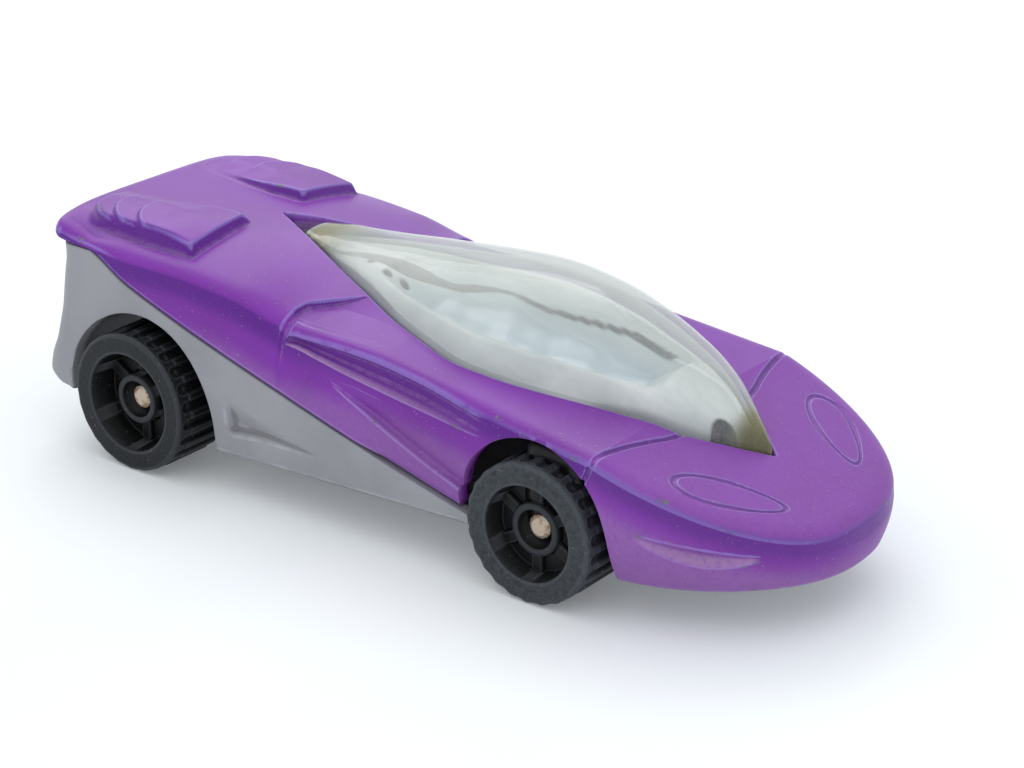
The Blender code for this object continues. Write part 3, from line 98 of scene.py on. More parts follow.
def shoulderY(x):
    return smoothCurve([(-32.3, 12.1), (-26.76, 12.35), (-4.6, 12.4), (26.4, 13.35)], x)


def fenderStepX(y):  # the arc where the deck steps down to the fender
    return car["notch"] + smoothCurve([
        (5.8, 3.5), (7, 2.8), (8.9, 0.84), (10.1, -0.36), (11.1, -0.56), (12.4, 0)], np.abs(y))


humps = {
    "plates": ((8.8, 0), (11.8, 0.15), (14.2, 0.3)), "step": 0.3, "lift": 0.8, "inner": 3.1, "outer": 11}


def humpHeight(x, y):  # stacked louvre plates with an eased edge
    y = np.abs(y)
    back = car["humpFront"] - x
    total = np.zeros(np.broadcast(x, y).shape)
    for length, tuck in humps["plates"]:
        turnX, turnY = car["humpFront"] - length + 4.6, humps["outer"] - tuck - 3.6
        corner = 1 - np.sqrt(np.maximum(turnX - x, 0) ** 2 / 21.2 + np.maximum(y - turnY, 0) ** 2 / 13)
        plate = ramp(0, 0.3, corner * 3.6) * ramp(4.3, 6.8, y)
        slope = ramp(length + 1.5, 1, back) * (1 - ramp(4.3, 6.8, y))
        total = total + humps["step"] * (plate + slope * ramp(turnY + 3.6, turnY + 3.2, y))
    front = ramp(0, 0.75, back - 0.1)
    inner = ramp(0, 0.9, y - humps["inner"] - 0.1 * np.maximum(back - 4, 0))
    outer = ramp(0, 0.55, humps["outer"] - y)
    lift = smoothCurve([(0, 0), (5, 1), (10.5, 1), (14.5, 0.2)], back)
    lift = lift * unit((y - 3.3) / 7.7) * ramp(0, 2.2, 16 - back)
    rearCorner = np.sqrt(np.maximum(back - 9.8, 0) ** 2 / 21.2 + np.maximum(y - 7.1, 0) ** 2 / 14)
    lift = lift * ramp(1.15, 0.75, rearCorner)
    return (total + humps["lift"] * lift) * front * inner * outer


def deckZ(x, y):
    share = np.minimum(np.abs(y) / shoulderY(x), 1)
    power = smoothCurve([(-32.3, 5), (-22.6, 2)], x)
    crown = mix(deckCentreZ(x), shoulderZ(x), share ** power)
    past = ramp(-0.1, 0.45, x - fenderStepX(y))
    inward = smoothCurve([(6.2, 0), (8.5, 1)], np.abs(y))
    outward = smoothCurve([(11.2, 1), (12.4, 0.35)], np.abs(y))
    forward = smoothCurve([(1.5, 1), (10, 0)], x - car["notch"])
    return crown - 0.55 * past * inward * outward * forward


def skirtZ(x):
    return smoothCurve([
        (-32.3, 18.4), (-29.07, 18.4), (-22.14, 16.04), (-14.74, 13.81), (1.43, 9.35),
        (13.9, 6), (21, 4.38), (28.1, 3.3), (42.1, 4.2)], x)


def flankShare(x):  # 0 where the shoulder meets the rim, 1 where there is a flank between them
    return unit((shoulderZ(x) - skirtZ(x)) / 2)


def grooveLipZ(x):
    return smoothCurve([(-4.6, 15), (-2.9, 14.85), (-1.3, 14.6), (1.9, 14.15), (15.4, 12.55)], x)


def grooveShare(x):
    return smoothCurve([(-4.65, 0), (-4.35, 0.7), (-3.4, 1), (9, 1), (16.6, 0)], x)


def openingY(x):  # half width of the teardrop hole
    return smoothCurve([
        (-16.2, 0), (-12.79, 1.63), (-3.1, 5.57), (6.34, 8.88), (10.01, 9.6), (13.64, 9.26),
        (22.83, 6.62), (28.15, 4.7), (31.3, 2.4), (34.2, 0)], x)


def levelPoint(station, halfWidth, tipX, fullness, squareness):
    # stations up to 0 are x behind the panel line; from 0 to 1 they close round the nose
    along = np.sin(unit(station) * math.pi / 2)
    x = car["panel"] + np.where(station <= 0, station, (tipX - car["panel"]) * along)
    return x, halfWidth * np.maximum(0, 1 - along ** fullness) ** (1 / squareness)


def gridNormals(points):
    normal = np.cross(*np.gradient(points, axis=(0, 1)))
    length = np.linalg.norm(normal, axis=2, keepdims=True)
    return normal / np.maximum(length, 1e-9)


def curvatureMasks(points):  # per point: how much it is an edge, and how much a hollow
    normal = gridNormals(points)
    bend = np.zeros(points.shape[:2])
    for axis in (0, 1):
        ahead, behind = (np.roll(points, step, axis) - points for step in (-1, 1))
        far, near = (np.linalg.norm(way, axis=2, keepdims=True) + 1e-6 for way in (ahead, behind))
        second = 2 * (ahead / far + behind / near) / (far + near)
        part = np.einsum("ijk,ijk->ij", second, normal)
        part[np.minimum(far, near)[..., 0] < 0.01] = 0
        ends = np.moveaxis(part, axis, 0)
        ends[0] = ends[-1] = 0
        bend += np.clip(part, -4, 4)
    for _ in range(2):  # blurred, so that the masks don't flicker from point to point
        wide = np.pad(bend, 1, mode="edge")
        bend = 2 * bend + wide[:-2, 1:-1] + wide[2:, 1:-1] + wide[1:-1, :-2] + wide[1:-1, 2:]
        bend = bend / 6
    return unit(-bend / 1.6), unit(bend / 1.6)


def addObject(name, data):
    thing = bpy.data.objects.new(name, data)
    bpy.context.scene.collection.objects.link(thing)
    return thing


def gridOf(x, y, z):
    return np.stack(np.broadcast_arrays(x, y, z), axis=-1)


def meshObject(name, grids, material, mirror=False, body="car"):
    # one welded mesh; each grid is its points, whether it is turned inside out, and its masks
    points, faces, masks = [], [], {key: [] for key in ("edge", "hollow", "extra", "tint")}
    start = 0
    for grid in grids:
        block, flip, given = (*grid, {}, {})[:3]
        rows, columns = block.shape[:2]
        blank = np.zeros((rows, columns))
        bends = curvatureMasks(block) if min(rows, columns) > 2 else (blank, blank)
        given = {**given, **dict(zip(("hollow", "edge") if flip else ("edge", "hollow"), bends))}
        index = np.arange(rows * columns).reshape(rows, columns)
        corners = [index[:-1, :-1], index[1:, :-1], index[1:, 1:], index[:-1, 1:]]
        quads = np.stack(corners, axis=-1).reshape(-1, 4)
        for side in ((1, -1) if mirror else (1,)):
            points.append(block.reshape(-1, 3) * [1, side, 1])
            faces.append((quads[:, ::-1] if bool(flip) == (side == 1) else quads) + start)
            start += rows * columns
            for key, parts in masks.items():
                parts.append(given.get(key, blank).ravel())
    points = np.concatenate(points)
    keys = np.round(points / 0.003).astype(np.int64)  # points nearer than this in mm are welded
    first, inverse = np.unique(keys, axis=0, return_index=True, return_inverse=True)[1:]
    inverse = inverse.ravel()
    polygons = []
    for face in inverse[np.concatenate(faces)].tolist():
        loop = [v for i, v in enumerate(face) if v != face[i - 1]]
        if len(set(loop)) == len(loop) and len(loop) > 2:
            polygons.append(loop)
    kept = (points[first] - [car["centreX"], 0, 0]) * 0.001
    mesh = bpy.data.meshes.new(name)
    mesh.from_pydata(kept.tolist(), [], polygons)
    mesh.update()
    mesh.shade_smooth()
    for key, parts in masks.items():
        layer = mesh.attributes.new(key, "FLOAT", "POINT")
        values = np.concatenate(parts)
        if key == "tint":  # the greatest value among the welded points
            starts = np.searchsorted(np.sort(inverse), np.arange(len(first)))
            values[first] = np.maximum.reduceat(values[np.argsort(inverse, kind="stable")], starts)
        layer.data.foreach_set("value", values[first].astype(np.float32))
    mesh.materials.append(material)
    thing = addObject(name, mesh)
    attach(thing, body)
    return thing


def addNode(tree, kind, inputs, out=0, **settings):  # one shader node, whose inputs take values or links
    node = tree.nodes.new("ShaderNode" + kind)
    for key, value in settings.items():
        setattr(node, key, value)
    for key, value in inputs.items():
        if isinstance(value, bpy.types.NodeSocket):
            tree.links.new(value, node.inputs[key])
        else:
            node.inputs[key].default_value = value
    return node.outputs[out]


def productOf(tree, values, weight, *cuts):  # a weight times sources, each plain or cut softly from low to high
    for source, *cut in cuts:
        value = values[source]
        if cut:
            low, high, easing = (*cut, "SMOOTHSTEP")[:3]
            value = addNode(tree, "MapRange", {"Value": value, "From Min": low, "From Max": high},
                            interpolation_type=easing)
        weight = addNode(tree, "Math", {0: weight, 1: value}, operation="MULTIPLY", use_clamp=True)
    return weight


def sumOf(tree, values, total, *terms):  # a start value plus or minus products, kept within 0 and 1
    for weight, *cuts in terms:
        term = productOf(tree, values, abs(weight), *cuts)
        sign = "ADD" if weight > 0 else "SUBTRACT"
        total = addNode(tree, "Math", {0: total, 1: term}, operation=sign, use_clamp=True)
    return total


def makeMaterial(name, recipe):
    # patterns: size in mm, detail, roughness, stretch; shares: the greatest of their products;
    # layers: colours laid over the first one, each by a product; roughness: a sum;
    # height: depth in mm and a sum; alpha: its least value, the blend of its grazing angle and a sum
    material = bpy.data.materials.new(name)
    material.use_nodes = True
    tree = material.node_tree
    shader = tree.nodes["Principled BSDF"]
    for key, value in recipe["shader"].items():
        shader.inputs[key].default_value = value
    where = addNode(tree, "TexCoord", {}, "Object")
    values = {}
    for key in recipe.get("attributes", ()):
        values[key] = addNode(tree, "Attribute", {}, "Fac", attribute_name=key)
    for key, (size, detail, roughness, *stretch) in recipe["patterns"].items():
        scaled = addNode(tree, "Mapping", {"Vector": where, "Scale": stretch or (1, 1, 1)})
        values[key] = addNode(tree, "TexNoise", {
            "Vector": scaled, "Scale": 1000 / size, "Detail": detail, "Roughness": roughness})
    for key, products in recipe.get("shares", {}).items():
        share, *others = [productOf(tree, values, *product) for product in products]
        for other in others:
            share = addNode(tree, "Math", {0: share, 1: other}, operation="MAXIMUM", use_clamp=True)
        values[key] = share
    colour = hexLinear(recipe["colour"])
    for code, *product in recipe["layers"]:
        share = productOf(tree, values, *product)
        colour = addNode(tree, "Mix", {0: share, 6: colour, 7: hexLinear(code)}, 2, data_type="RGBA")
    tree.links.new(colour, shader.inputs["Base Color"])
    if "roughness" in recipe:
        tree.links.new(sumOf(tree, values, *recipe["roughness"]), shader.inputs["Roughness"])
    if "height" in recipe:
        depth, *terms = recipe["height"]
        height = sumOf(tree, values, 0, *terms)
        normal = addNode(tree, "Bump", {"Height": height, "Distance": depth * 0.001})
        tree.links.new(normal, shader.inputs["Normal"])
    if "alpha" in recipe:
        least, blend, *terms = recipe["alpha"]
        values["facing"] = addNode(tree, "LayerWeight", {"Blend": blend}, "Facing")
        alpha = addNode(tree, "Math", {0: sumOf(tree, values, *terms), 1: least}, operation="MAXIMUM")
        tree.links.new(alpha, shader.inputs["Alpha"])
    return material


# purple enamel sprayed on cast zinc: glossy, with painted shade under the crests and on steep faces,
# a painted bluish highlight on the crests and a painted highlight on lit facets,
# dusty in the hollows, chipped to grey metal at the edges
enamelOnZinc = {
    "shader": {"IOR": 1.5, "Specular IOR Level": 0.3},
    "attributes": ("edge", "hollow", "extra", "tint"),
    "patterns": {
        "coat": (11, 4, 0.6), "peel": (0.3, 2, 0.6), "glintBreaks": (2.2, 4, 0.7),
        "chip": (2.6, 6, 0.75, 1, 1, 2),
        "speck": (0.24, 2, 0.5), "powder": (0.9, 5, 0.7), "grit": (0.5, 5, 0.8)},  # dust, drawn coarser to show
    "shares": {
        "dustAndPaintedLight": ((0.28, ("hollow", 0.15, 0.8), ("powder", 0.25, 0.6)), (1, ("grit", 0, 0.6), ("tint",))),
        "bare": ((1, ("edge", 0.35, 0.55), ("chip", 0.625, 0.64)),)},
    "colour": "#7a27a3",
    "layers": (
        ("#722694", 1, ("coat", 0.3, 0.7)),
        ("#560c84", 0.9, ("extra", 0, 1)),  # painted shade: darker under the crests and on steep faces
        ("#c9a9cf", 0.3, ("speck", 0.66, 0.76), ("coat", 0.3, 0.6)),
        # painted bluish highlight along the crests, broken in places
        ("#9a8ad6", 0.45, ("edge", 0.5, 1), ("glintBreaks", 0.2, 0.45)),
        # dust colour; where the mask holds lit facets, it is a painted highlight
        ("#b08fb4", 0.8, ("dustAndPaintedLight",)),
        ("#666f6a", 1, ("bare",)),
        ("#0b090d", 1, ("extra", 1.2, 1.9))),  # painted shade on the inside of the shell
    "roughness": (0.26, (0.14, ("coat",)), (0.4, ("dustAndPaintedLight",))),
    "height": (0.04, (0.5, ("coat",)), (0.05, ("peel",)), (-0.5, ("bare",)))}

# warm grey ABS from a spark-eroded mould: matt, fine-grained, scuffed pale at its edges, with painted shade in
# its hollows
mouldedAbs = {
    "shader": {"Roughness": 0.5, "IOR": 1.5},
    "attributes": ("edge", "hollow"),
    "patterns": {"flow": (7, 3, 0.5), "scuff": (1.2, 3, 0.5), "grain": (0.25, 2, 0.5)},  # coarser to show
    "colour": "#8b8b91",
    "layers": (
        ("#95959b", 1, ("flow", 0.3, 0.7)),
        ("#b4b4b8", 0.5, ("edge", 0.3, 0.9), ("scuff", 0.35, 0.65)),
        # painted shade in the hollows
        ("#5c5859", 0.5, ("hollow", 0.2, 0.8))),
    "height": (0.02, (1, ("grain",)))}

# black styrene wheels, moulded glossy and gone grey with dust, with painted shade in the dish and on the rear
# wheels and a painted highlight on their edges
mouldedStyrene = {
    "shader": {"IOR": 1.5, "Specular IOR Level": 0.22},
    "attributes": ("edge", "extra"),
    "patterns": {"powder": (0.35, 4, 0.7), "speck": (0.3, 1, 0.5), "grain": (0.4, 3, 0.5)},  # coarser to show
    "shares": {"dustAndPaintedLight": ((1, ("powder", 0, 0.85), ("extra",)),)},
    "colour": "#070708",
    "layers": (
        # dust grey, laid thinner in the dish and on the rear wheels as painted shade
        ("#4d5258", 1, ("dustAndPaintedLight",)),
        ("#6e6a68", 0.5, ("speck", 0.72, 0.76)),
        # painted highlight on the edges
        ("#5c6168", 0.22, ("edge", 0.3, 0.9))),
    "roughness": (0.4, (0.4, ("dustAndPaintedLight",))),
    "height": (0.02, (1, ("grain",)))}

# drawn steel pin: dull and tan, with orange rust round its peened head
drawnSteel = {
    "shader": {"Metallic": 0.55},
    "patterns": {"rusty": (1.3, 4, 0.7), "grain": (0.3, 3, 0.6)},
    "shares": {"rust": ((1, ("rusty", 0.47, 0.6)),)},
    "colour": "#b9a894",
    "layers": (("#c9bba9", 1, ("grain",)), ("#a5683a", 0.75, ("rust",))),
    "roughness": (0.42, (0.38, ("rust",))),
    "height": (0.02, (1, ("grain",)))}

# clear moulded styrene: see-through, hazy in streaks, scuffed, olive at its thick tips, and paler at grazing
# angles as a painted reflection
clearStyrene = {
    "shader": {"IOR": 1.5},
    "attributes": ("extra",),
    "patterns": {"haze": (7, 4, 0.6, 0.5, 1.7, 1), "scratch": (1.4, 5, 0.75, 0.35, 1.6, 1)},
    "shares": {"scuff": ((1, ("scratch", 0.6, 0.75)),)},
    "colour": "#c2c8c2",
    "layers": (("#7f7c58", 1, ("extra",)),),
    "roughness": (0.06, (0.24, ("scuff",))),
    "height": (0.03, (1, ("haze",))),
    "alpha": (
        # more opaque at grazing angles, so the pale colour shows there as a painted reflection
        0.06, 0.25, 0.05, (1, ("facing",)), (0.1, ("haze", 0.35, 0.7, "LINEAR")),
        (0.07, ("scuff",)), (0.4, ("extra",)),
        (-1, ("extra", -0.1, -0.9)))}  # the last one opens the void behind the rear tip

# vacuum-metallised styrene: silvery, dulled and streaky, with a painted mauve-grey shade band along one side
# and a painted highlight along its front rim
metallisedStyrene = {
    "shader": {"Metallic": 0.15},
    "attributes": ("extra", "tint"),
    "patterns": {"worn": (4, 5, 0.65, 0.5, 1.3, 1), "fleck": (0.5, 4, 0.7), "flake": (0.4, 4, 0.7)},
    "colour": "#f6f8f8",
    "layers": (
        ("#dce1e2", 1, ("worn", 0.3, 0.7)),
        ("#c3d2db", 0.75, ("tint", 0.1, 0.9)),  # the tub mirrors a colder light
        # mauve grey: painted shade along the band, also the dark dots and the front patch
        ("#5c525e", 1, ("fleck", 0, 0.5), ("extra",)),
        ("#08090a", 1, ("extra", 1.1, 1.4), ("flake", 0.4, 0.5)),
        ("#ffffff", 1, ("tint", 1.1, 1.5))),  # painted highlight along the front rim
    "roughness": (0.32, (0.23, ("worn",))),
    "height": (0.06, (1, ("worn",)))}

enamel = makeMaterial("enamelOnZinc", enamelOnZinc)
moulding = makeMaterial("mouldedAbs", mouldedAbs)
styrene = makeMaterial("mouldedStyreneBlack", mouldedStyrene)
steel = makeMaterial("drawnSteel", drawnSteel)
clear = makeMaterial("clearStyrene", clearStyrene)
metallised = makeMaterial("vacMetallisedStyrene", metallisedStyrene)
print("materials made")

bodyPiece = {
    "deckPoints": 96, "rollPoints": 10, "wallPoints": 14, "bankPoints": 12, "sidePoints": 32, "wall": 1.3,
    "tailWall": 3.4, "rimWidth": 1.2, "keeper": (-22.5, -19.5, 3.2, 4.4, 7.25),  # x, x, y, y, foot
    "shoulderRoll": 1.2, "spread": 0.55, "drop": 0.8, "belt": 14.1, "sill": 13.6, "noseRim": 12.3,
    "beltZ": 9, "noseBeltZ": 6.4, "beltReach": 0.3, "groove": 0.35, "cornerRound": 1.4, "edgeRoll": 0.35,
    "arch": (21, 6.4, 7.1), "lineWidth": 0.26, "lineDepth": 0.28,  # arch: centre x and z, radius
    "headlight": {"x": 34.95, "y": 7.75, "turn": -38, "half": 4.25, "width": 1.55, "taper": 0.25,
                  "line": 0.27, "depth": 0.17},
    "scoop": {"start": 0.2, "end": 16.5, "footZ": 13.2, "fall": 6.6 / 16, "topZ": 13.35, "topFall": 0.13,
              "depth": 0.8},
    "crescent": {"start": 0.13, "span": 0.455, "rearZ": 8.35, "frontZ": 7.35, "height": 1.5, "depth": 0.65}}


def inwardOf(x, y):  # unit plan direction into the car
    dx = np.where(x > car["panel"], car["panel"] - 3 - x, 0)
    dy = -np.maximum(np.abs(y), 0.001)
    length = np.hypot(dx, dy)
    return dx / length, dy / length


def rollOver(a, b, c, t):  # a rounded corner from a to c by way of b
    return a * (1 - t) ** 2 + b * 2 * t * (1 - t) + c * t * t


def bodyGrid(stations, inset=0, fine=True):  # half the car's outside, from the canopy hole down to the rim
    p = bodyPiece
    s = np.asarray(stations, float)[:, None]
    x = car["panel"] + np.minimum(s, 0)
    tail = car["tail"] + (p["tailWall"] if inset else 0)
    corner = unit((tail + p["cornerRound"] - x) / p["cornerRound"])
    bite = 1 - np.sqrt(1 - corner * corner)
    pulled = inset + p["cornerRound"] * bite
    lower = inset + p["edgeRoll"] * bite
    flank = flankShare(x)
    channel = grooveShare(x) * (s <= 0) * (inset == 0)
    thick = np.maximum(flank, 0.85 * ramp(-26, -31, x))  # the edge is fuller at the tail
    roll = mix(0.4, 1, thick) * p["shoulderRoll"] * (1 - 0.5 * channel)
    spread = mix(0.4, 1, flank) * p["spread"] * (1 - 0.4 * channel)
    drop = mix(0.2, 1, thick) * p["drop"] * (1 - 0.4 * channel)
    crestY = shoulderY(x) - pulled
    crestX = car["nose"] - inset
    innerX, innerY = levelPoint(s, crestY - roll, crestX - roll, 1.8, 2.5)
    edgeX, edgeY = levelPoint(s, crestY + 0.75 * spread, crestX + 0.75 * car["noseSpread"], 1.8, 2.55)
    outerX, outerY = levelPoint(s, crestY + spread, crestX + car["noseSpread"], 1.8, 2.6)
    beltX, beltY = levelPoint(s, p["belt"] - pulled, crestX + p["beltReach"], 1.85, 2.5)
    rimWidth = smoothCurve([(13.9, p["sill"]), (26.4, p["noseRim"])], x)
    rimX, rimY = levelPoint(s, rimWidth - pulled, crestX, 1.75, 2.3)

    hole = openingY(innerX)
    count = p["deckPoints"] if fine else 16
    shares = np.linspace(0, 1, count + 1)[None, :]
    y = hole + (innerY - hole) * shares
    lip = np.minimum(0.07 * np.arange(count + 1), 0.28)[None, :]
    if fine:
        y = np.where(hole > 0.02, np.maximum(y, hole + np.minimum(lip, (innerY - hole) * shares ** 0.5)), y)
    deckX = innerX + 0 * y
    z = deckZ(deckX, y) - lower
    if fine:
        near = unit(1 - (y - hole) / 0.22)
        z = z + humpHeight(deckX, y) - np.where(hole > 0.02, 0.14 * near * near, 0)
        z = z - panelLine(deckX, y) - headlight(deckX, y)
    top = gridOf(deckX, y, z)

    behind = s <= 0
    slope = 2 * (shoulderZ(x) - deckCentreZ(x)) / shoulderY(x)
    baseZ = deckZ(innerX, innerY) - lower
    edgeZ = np.where(behind, baseZ + slope * (edgeY - innerY), shoulderZ(edgeX) - lower)
    t = np.linspace(0, 1, (p["rollPoints"] if fine else 3) + 1)[None, 1:]
    outerZ = edgeZ - drop
    rollX, rollY = rollOver(innerX, edgeX, outerX, t), rollOver(innerY, edgeY, outerY, t)
    rollZ = rollOver(baseZ, edgeZ, outerZ, t)
    if fine:
        rollZ = rollZ - panelLine(rollX, np.minimum(rollY, 13.2)) * (1 - t)
    shoulder = gridOf(rollX, rollY, rollZ)

    beltZ = mix(p["beltZ"], p["noseBeltZ"], unit(s))
    flare = np.where(behind, smoothCurve([(22.4, 2), (26.4, 1.2)], x),
                     smoothCurve([(0, 1.2), (0.25, 0.75)], s))
    rimZ = np.minimum(skirtZ(rimX), outerZ - 0.3)
    evenZ = mix(outerZ, rimZ, 0.1)
    lipZ = mix(evenZ, np.minimum(evenZ, grooveLipZ(x)), ramp(0, 0.04, channel))
    bedZ = mix(outerZ, lipZ, 0.68)
    creaseZ = np.clip(scoopLowZ(x), mix(rimZ, lipZ, 0.3), mix(rimZ, lipZ, 0.8))
    levels = []
    for high, low, key, few in ((outerZ, bedZ, "wallPoints", 2), (bedZ, lipZ, "bankPoints", 2),
                                (lipZ, creaseZ, "sidePoints", 3), (creaseZ, rimZ, "sidePoints", 4)):
        levels.append(mix(high, low, np.linspace(0, 1, (p[key] if fine else few) + 1)[None, 1:]))
    z = np.concatenate(levels, axis=1)
    up = unit((z - beltZ) / (outerZ - beltZ)) ** flare
    down = unit((beltZ - z) / np.maximum(beltZ - rimZ, 1)) ** 2
    sideX = np.where(z > beltZ, mix(beltX, outerX, up), mix(beltX, rimX, down))
    sideY = np.where(z > beltZ, mix(beltY, outerY, up), mix(beltY, rimY, down))
    bank = unit((bedZ - z) / np.maximum(bedZ - lipZ, 0.05))
    sunk = ramp(0, 0.35, (outerZ - z) / np.maximum(outerZ - bedZ, 0.05))
    lipY = mix(beltY, outerY, unit((lipZ - beltZ) / (outerZ - beltZ)) ** flare) + 0.1
    channelY = mix(outerY - p["groove"] * sunk, lipY, bank ** 1.6)
    below = unit((lipZ - z) / 1.6)
    inChannel = z >= lipZ - 0.001
    sideY = np.where(inChannel, mix(sideY, channelY, channel), sideY + 0.1 * channel * (1 - below) ** 2)
    if fine:
        inX, inY = inwardOf(sideX, sideY)
        dig = scoop(sideX, z) * behind + crescent(s, z) * ~behind + flankLine(sideX, z)
        dig = dig + 0.12 * ramp(0.25, 0, z - rimZ)  # a rounded rim
        sideX, sideY = sideX + inX * dig, sideY + inY * dig
    side = gridOf(sideX, sideY, z)
    whole = np.concatenate([top, shoulder, side], axis=1)

    clipArch(whole, *p["arch"], top.shape[1] - 1)
    fall = edgeZ - whole[..., 2]  # how far each point lies below the shoulder's edge
    # painted shade: darker paint under the shoulder's crest, fading down the side
    paintedShade = ramp(0.95, 0.3, fall / mix(3.2, 4, channel)) * ramp(0.25, 0.7, fall)
    tint = np.zeros(whole.shape[:2])
    if fine:  # masks: painted shade under the crests and on steep faces; dust in the groove, painted highlight on lit facets, lighter low on the sides and on the deck near the nose
        deck = top.shape[1]
        steep = ramp(0.97, 0.84, np.abs(gridNormals(whole)[:, :deck, 2]))
        # painted shade on the deck's steep faces
        paintedShade[:, :deck] = 0.95 * steep * (y > hole + 0.35)
        flat = deck + shoulder.shape[1]
        dustAndPaintedLight = channel * ramp(0.4, 0.9, bank) * (z > lipZ - 0.02)
        dustAndPaintedLight = dustAndPaintedLight * mix(1, 0.45, unit((x + 4) / 18))
        above = z - scoopLowZ(sideX)
        # painted highlight on the lit facet along the scoop's foot
        facet = 0.4 * ramp(0.2, 0, above) * ramp(-0.08, 0, above) * behind * (x > 1) * (x < 16)
        # lighter low on the sides
        lighterLow = np.where(behind, 0.32 * ramp(3.2, 5.5, edgeZ - z), 0.06 + 0.36 * ramp(2.2, 4.5, edgeZ - z))
        paintedShade[:, flat:] *= np.where(behind, mix(1, 0.72, channel), 0.95)
        # painted highlight on the crescent's lit lower face
        inLens = crescentFall(s, z)
        lens = 0.8 * ramp(0.15, 0.45, inLens) * ramp(1, 0.9, inLens) * ramp(0.1, 0.4, crescentSwell(s))
        tint[:, flat:] = np.maximum.reduce([dustAndPaintedLight, facet, lighterLow, lens * ~behind])
        # lighter on the deck towards the nose
        tint[:, :flat] = 0.2 * ramp(22, 31, whole[:, :flat, 0]) * ramp(0.8, 0.2, fall[:, :flat])
    return whole, {"extra": paintedShade, "tint": tint}


def clipArch(sections, ax, az, radius, start=0):  # each section ends where it meets a wheel arch
    for line in sections[:, start:]:
        away = np.hypot(line[:, 0] - ax, line[:, 2] - az)
        inside = np.nonzero((away < radius) & (line[:, 2] > 2.5))[0]
        if len(inside) and inside[0] > 0:
            k = inside[0]
            line[k:] = mix(line[k - 1], line[k], (away[k - 1] - radius) / (away[k - 1] - away[k]))


def lineGroove(away):  # a V groove about a line
    return bodyPiece["lineDepth"] * unit(1 - np.abs(away) / bodyPiece["lineWidth"]) ** 0.7


def panelLine(x, y):  # the line across the nose
    at = smoothCurve([(4, 2.2), (5.8, 1.9), (8.1, 1.2), (10, 0.7), (11.6, 0.4), (13.4, 0.1)], np.abs(y))
    return lineGroove(x - car["panel"] - at)


def flankLine(x, z):  # its end down the flank
    at = smoothCurve([(10.2, -1.1), (10.9, -0.85), (12.5, -0.1), (13.6, 0.1)], z)
    return lineGroove(x - car["panel"] - at) * (x < 30)


def headlight(x, y):  # shallow engraved oval on each side of the nose
    p = bodyPiece["headlight"]
    turn = math.radians(p["turn"])
    dx, dy = x - p["x"], np.abs(y) - p["y"]
    along = dx * math.cos(turn) + dy * math.sin(turn)
    across = -dx * math.sin(turn) + dy * math.cos(turn)
    shape = np.hypot(along / p["half"], across / (p["width"] * (1 - p["taper"] * along / p["half"])))
    away = np.abs(shape - 1) * np.hypot(along, across) / np.maximum(shape, 0.05)
    return p["depth"] * unit(1 - away / p["line"]) ** 0.8 * (np.abs(dx) < 8)


def scoopLowZ(x):  # the line along the foot of the flank's scoop
    p = bodyPiece["scoop"]
    return p["footZ"] - (x - p["start"]) * p["fall"]


def scoop(x, z):  # sharp along its foot, with a thin lit lip, soft above, open into the arch
    p = bodyPiece["scoop"]
    low = scoopLowZ(x)
    high = p["topZ"] - np.maximum(x - 3, 0) * p["topFall"]
    depth = p["depth"] * ramp(-0.3, 6, x - p["start"])
    t = unit((high - z) / np.maximum(high - low, 0.05))
    edge = ramp(-0.02, 0.34, z - low)
    return depth * t ** 1.2 * edge * (x > p["start"]) * (x < p["end"])


def crescentShare(s):  # 0 to 1 along the crescent on the nose
    return unit((s - bodyPiece["crescent"]["start"]) / bodyPiece["crescent"]["span"])


def crescentSwell(s):
    return np.sin(math.pi * mix(0.03, 0.97, crescentShare(s))) * ramp(0.12, 0.15, s) * ramp(0.6, 0.57, s)


def crescentFall(s, z):  # 0 at the upper edge of the nose's facet, 1 at its foot
    p = bodyPiece["crescent"]
    high = mix(p["rearZ"], p["frontZ"], crescentShare(s))
    return (high - z) / np.maximum(p["height"] * crescentSwell(s), 0.05)


def crescent(s, z):  # lens-shaped facet on the nose, cut in under its upper edge
    p = bodyPiece["crescent"]
    fall, swell = crescentFall(s, z), crescentSwell(s)
    cut = ramp(0, 0.3, fall * p["height"] * np.maximum(swell, 0.05))
    return p["depth"] * swell * unit(1 - fall) * cut


def spaced(*spans):  # (start, end, step) spans joined
    parts = [np.linspace(a, b, round((b - a) / step) + 1) for a, b, step in spans]
    return np.unique(np.round(np.concatenate(parts), 5))


def archStations(arch):  # where the sections stand closer, to follow a wheel arch
    return arch[0] - arch[2] * np.cos(np.linspace(0, math.pi, 90))


xs = spaced((-32.3, -30.9, 0.07), (-30.9, -16.9, 0.16), (-16.9, -15.4, 0.07), (-15.4, -6, 0.16),
            (-6, -0.5, 0.08), (-0.5, 13.7, 0.16), (13.7, 14.3, 0.06), (14.3, 24.8, 0.16), (24.8, 26.4, 0.07))
tailEase = car["tail"] + bodyPiece["cornerRound"] * (1 - np.cos(np.linspace(0, math.pi / 2, 14)))
archXs = archStations(bodyPiece["arch"])
behindPanel = archXs[archXs < car["panel"]]
xs = np.unique(np.round(np.concatenate([xs, tailEase, behindPanel, [13.899]]), 4))
noseXs = np.concatenate([np.arange(26.4, 28.8, 0.07), np.arange(28.8, 34.6, 0.1)])
noseShare = unit((noseXs - car["panel"]) / 15.7)
noseStations = np.unique(np.concatenate([2 / math.pi * np.arcsin(noseShare), np.linspace(0.35, 1, 150)]))
stations = np.concatenate([xs - car["panel"], noseStations[noseStations > 0.0008]])

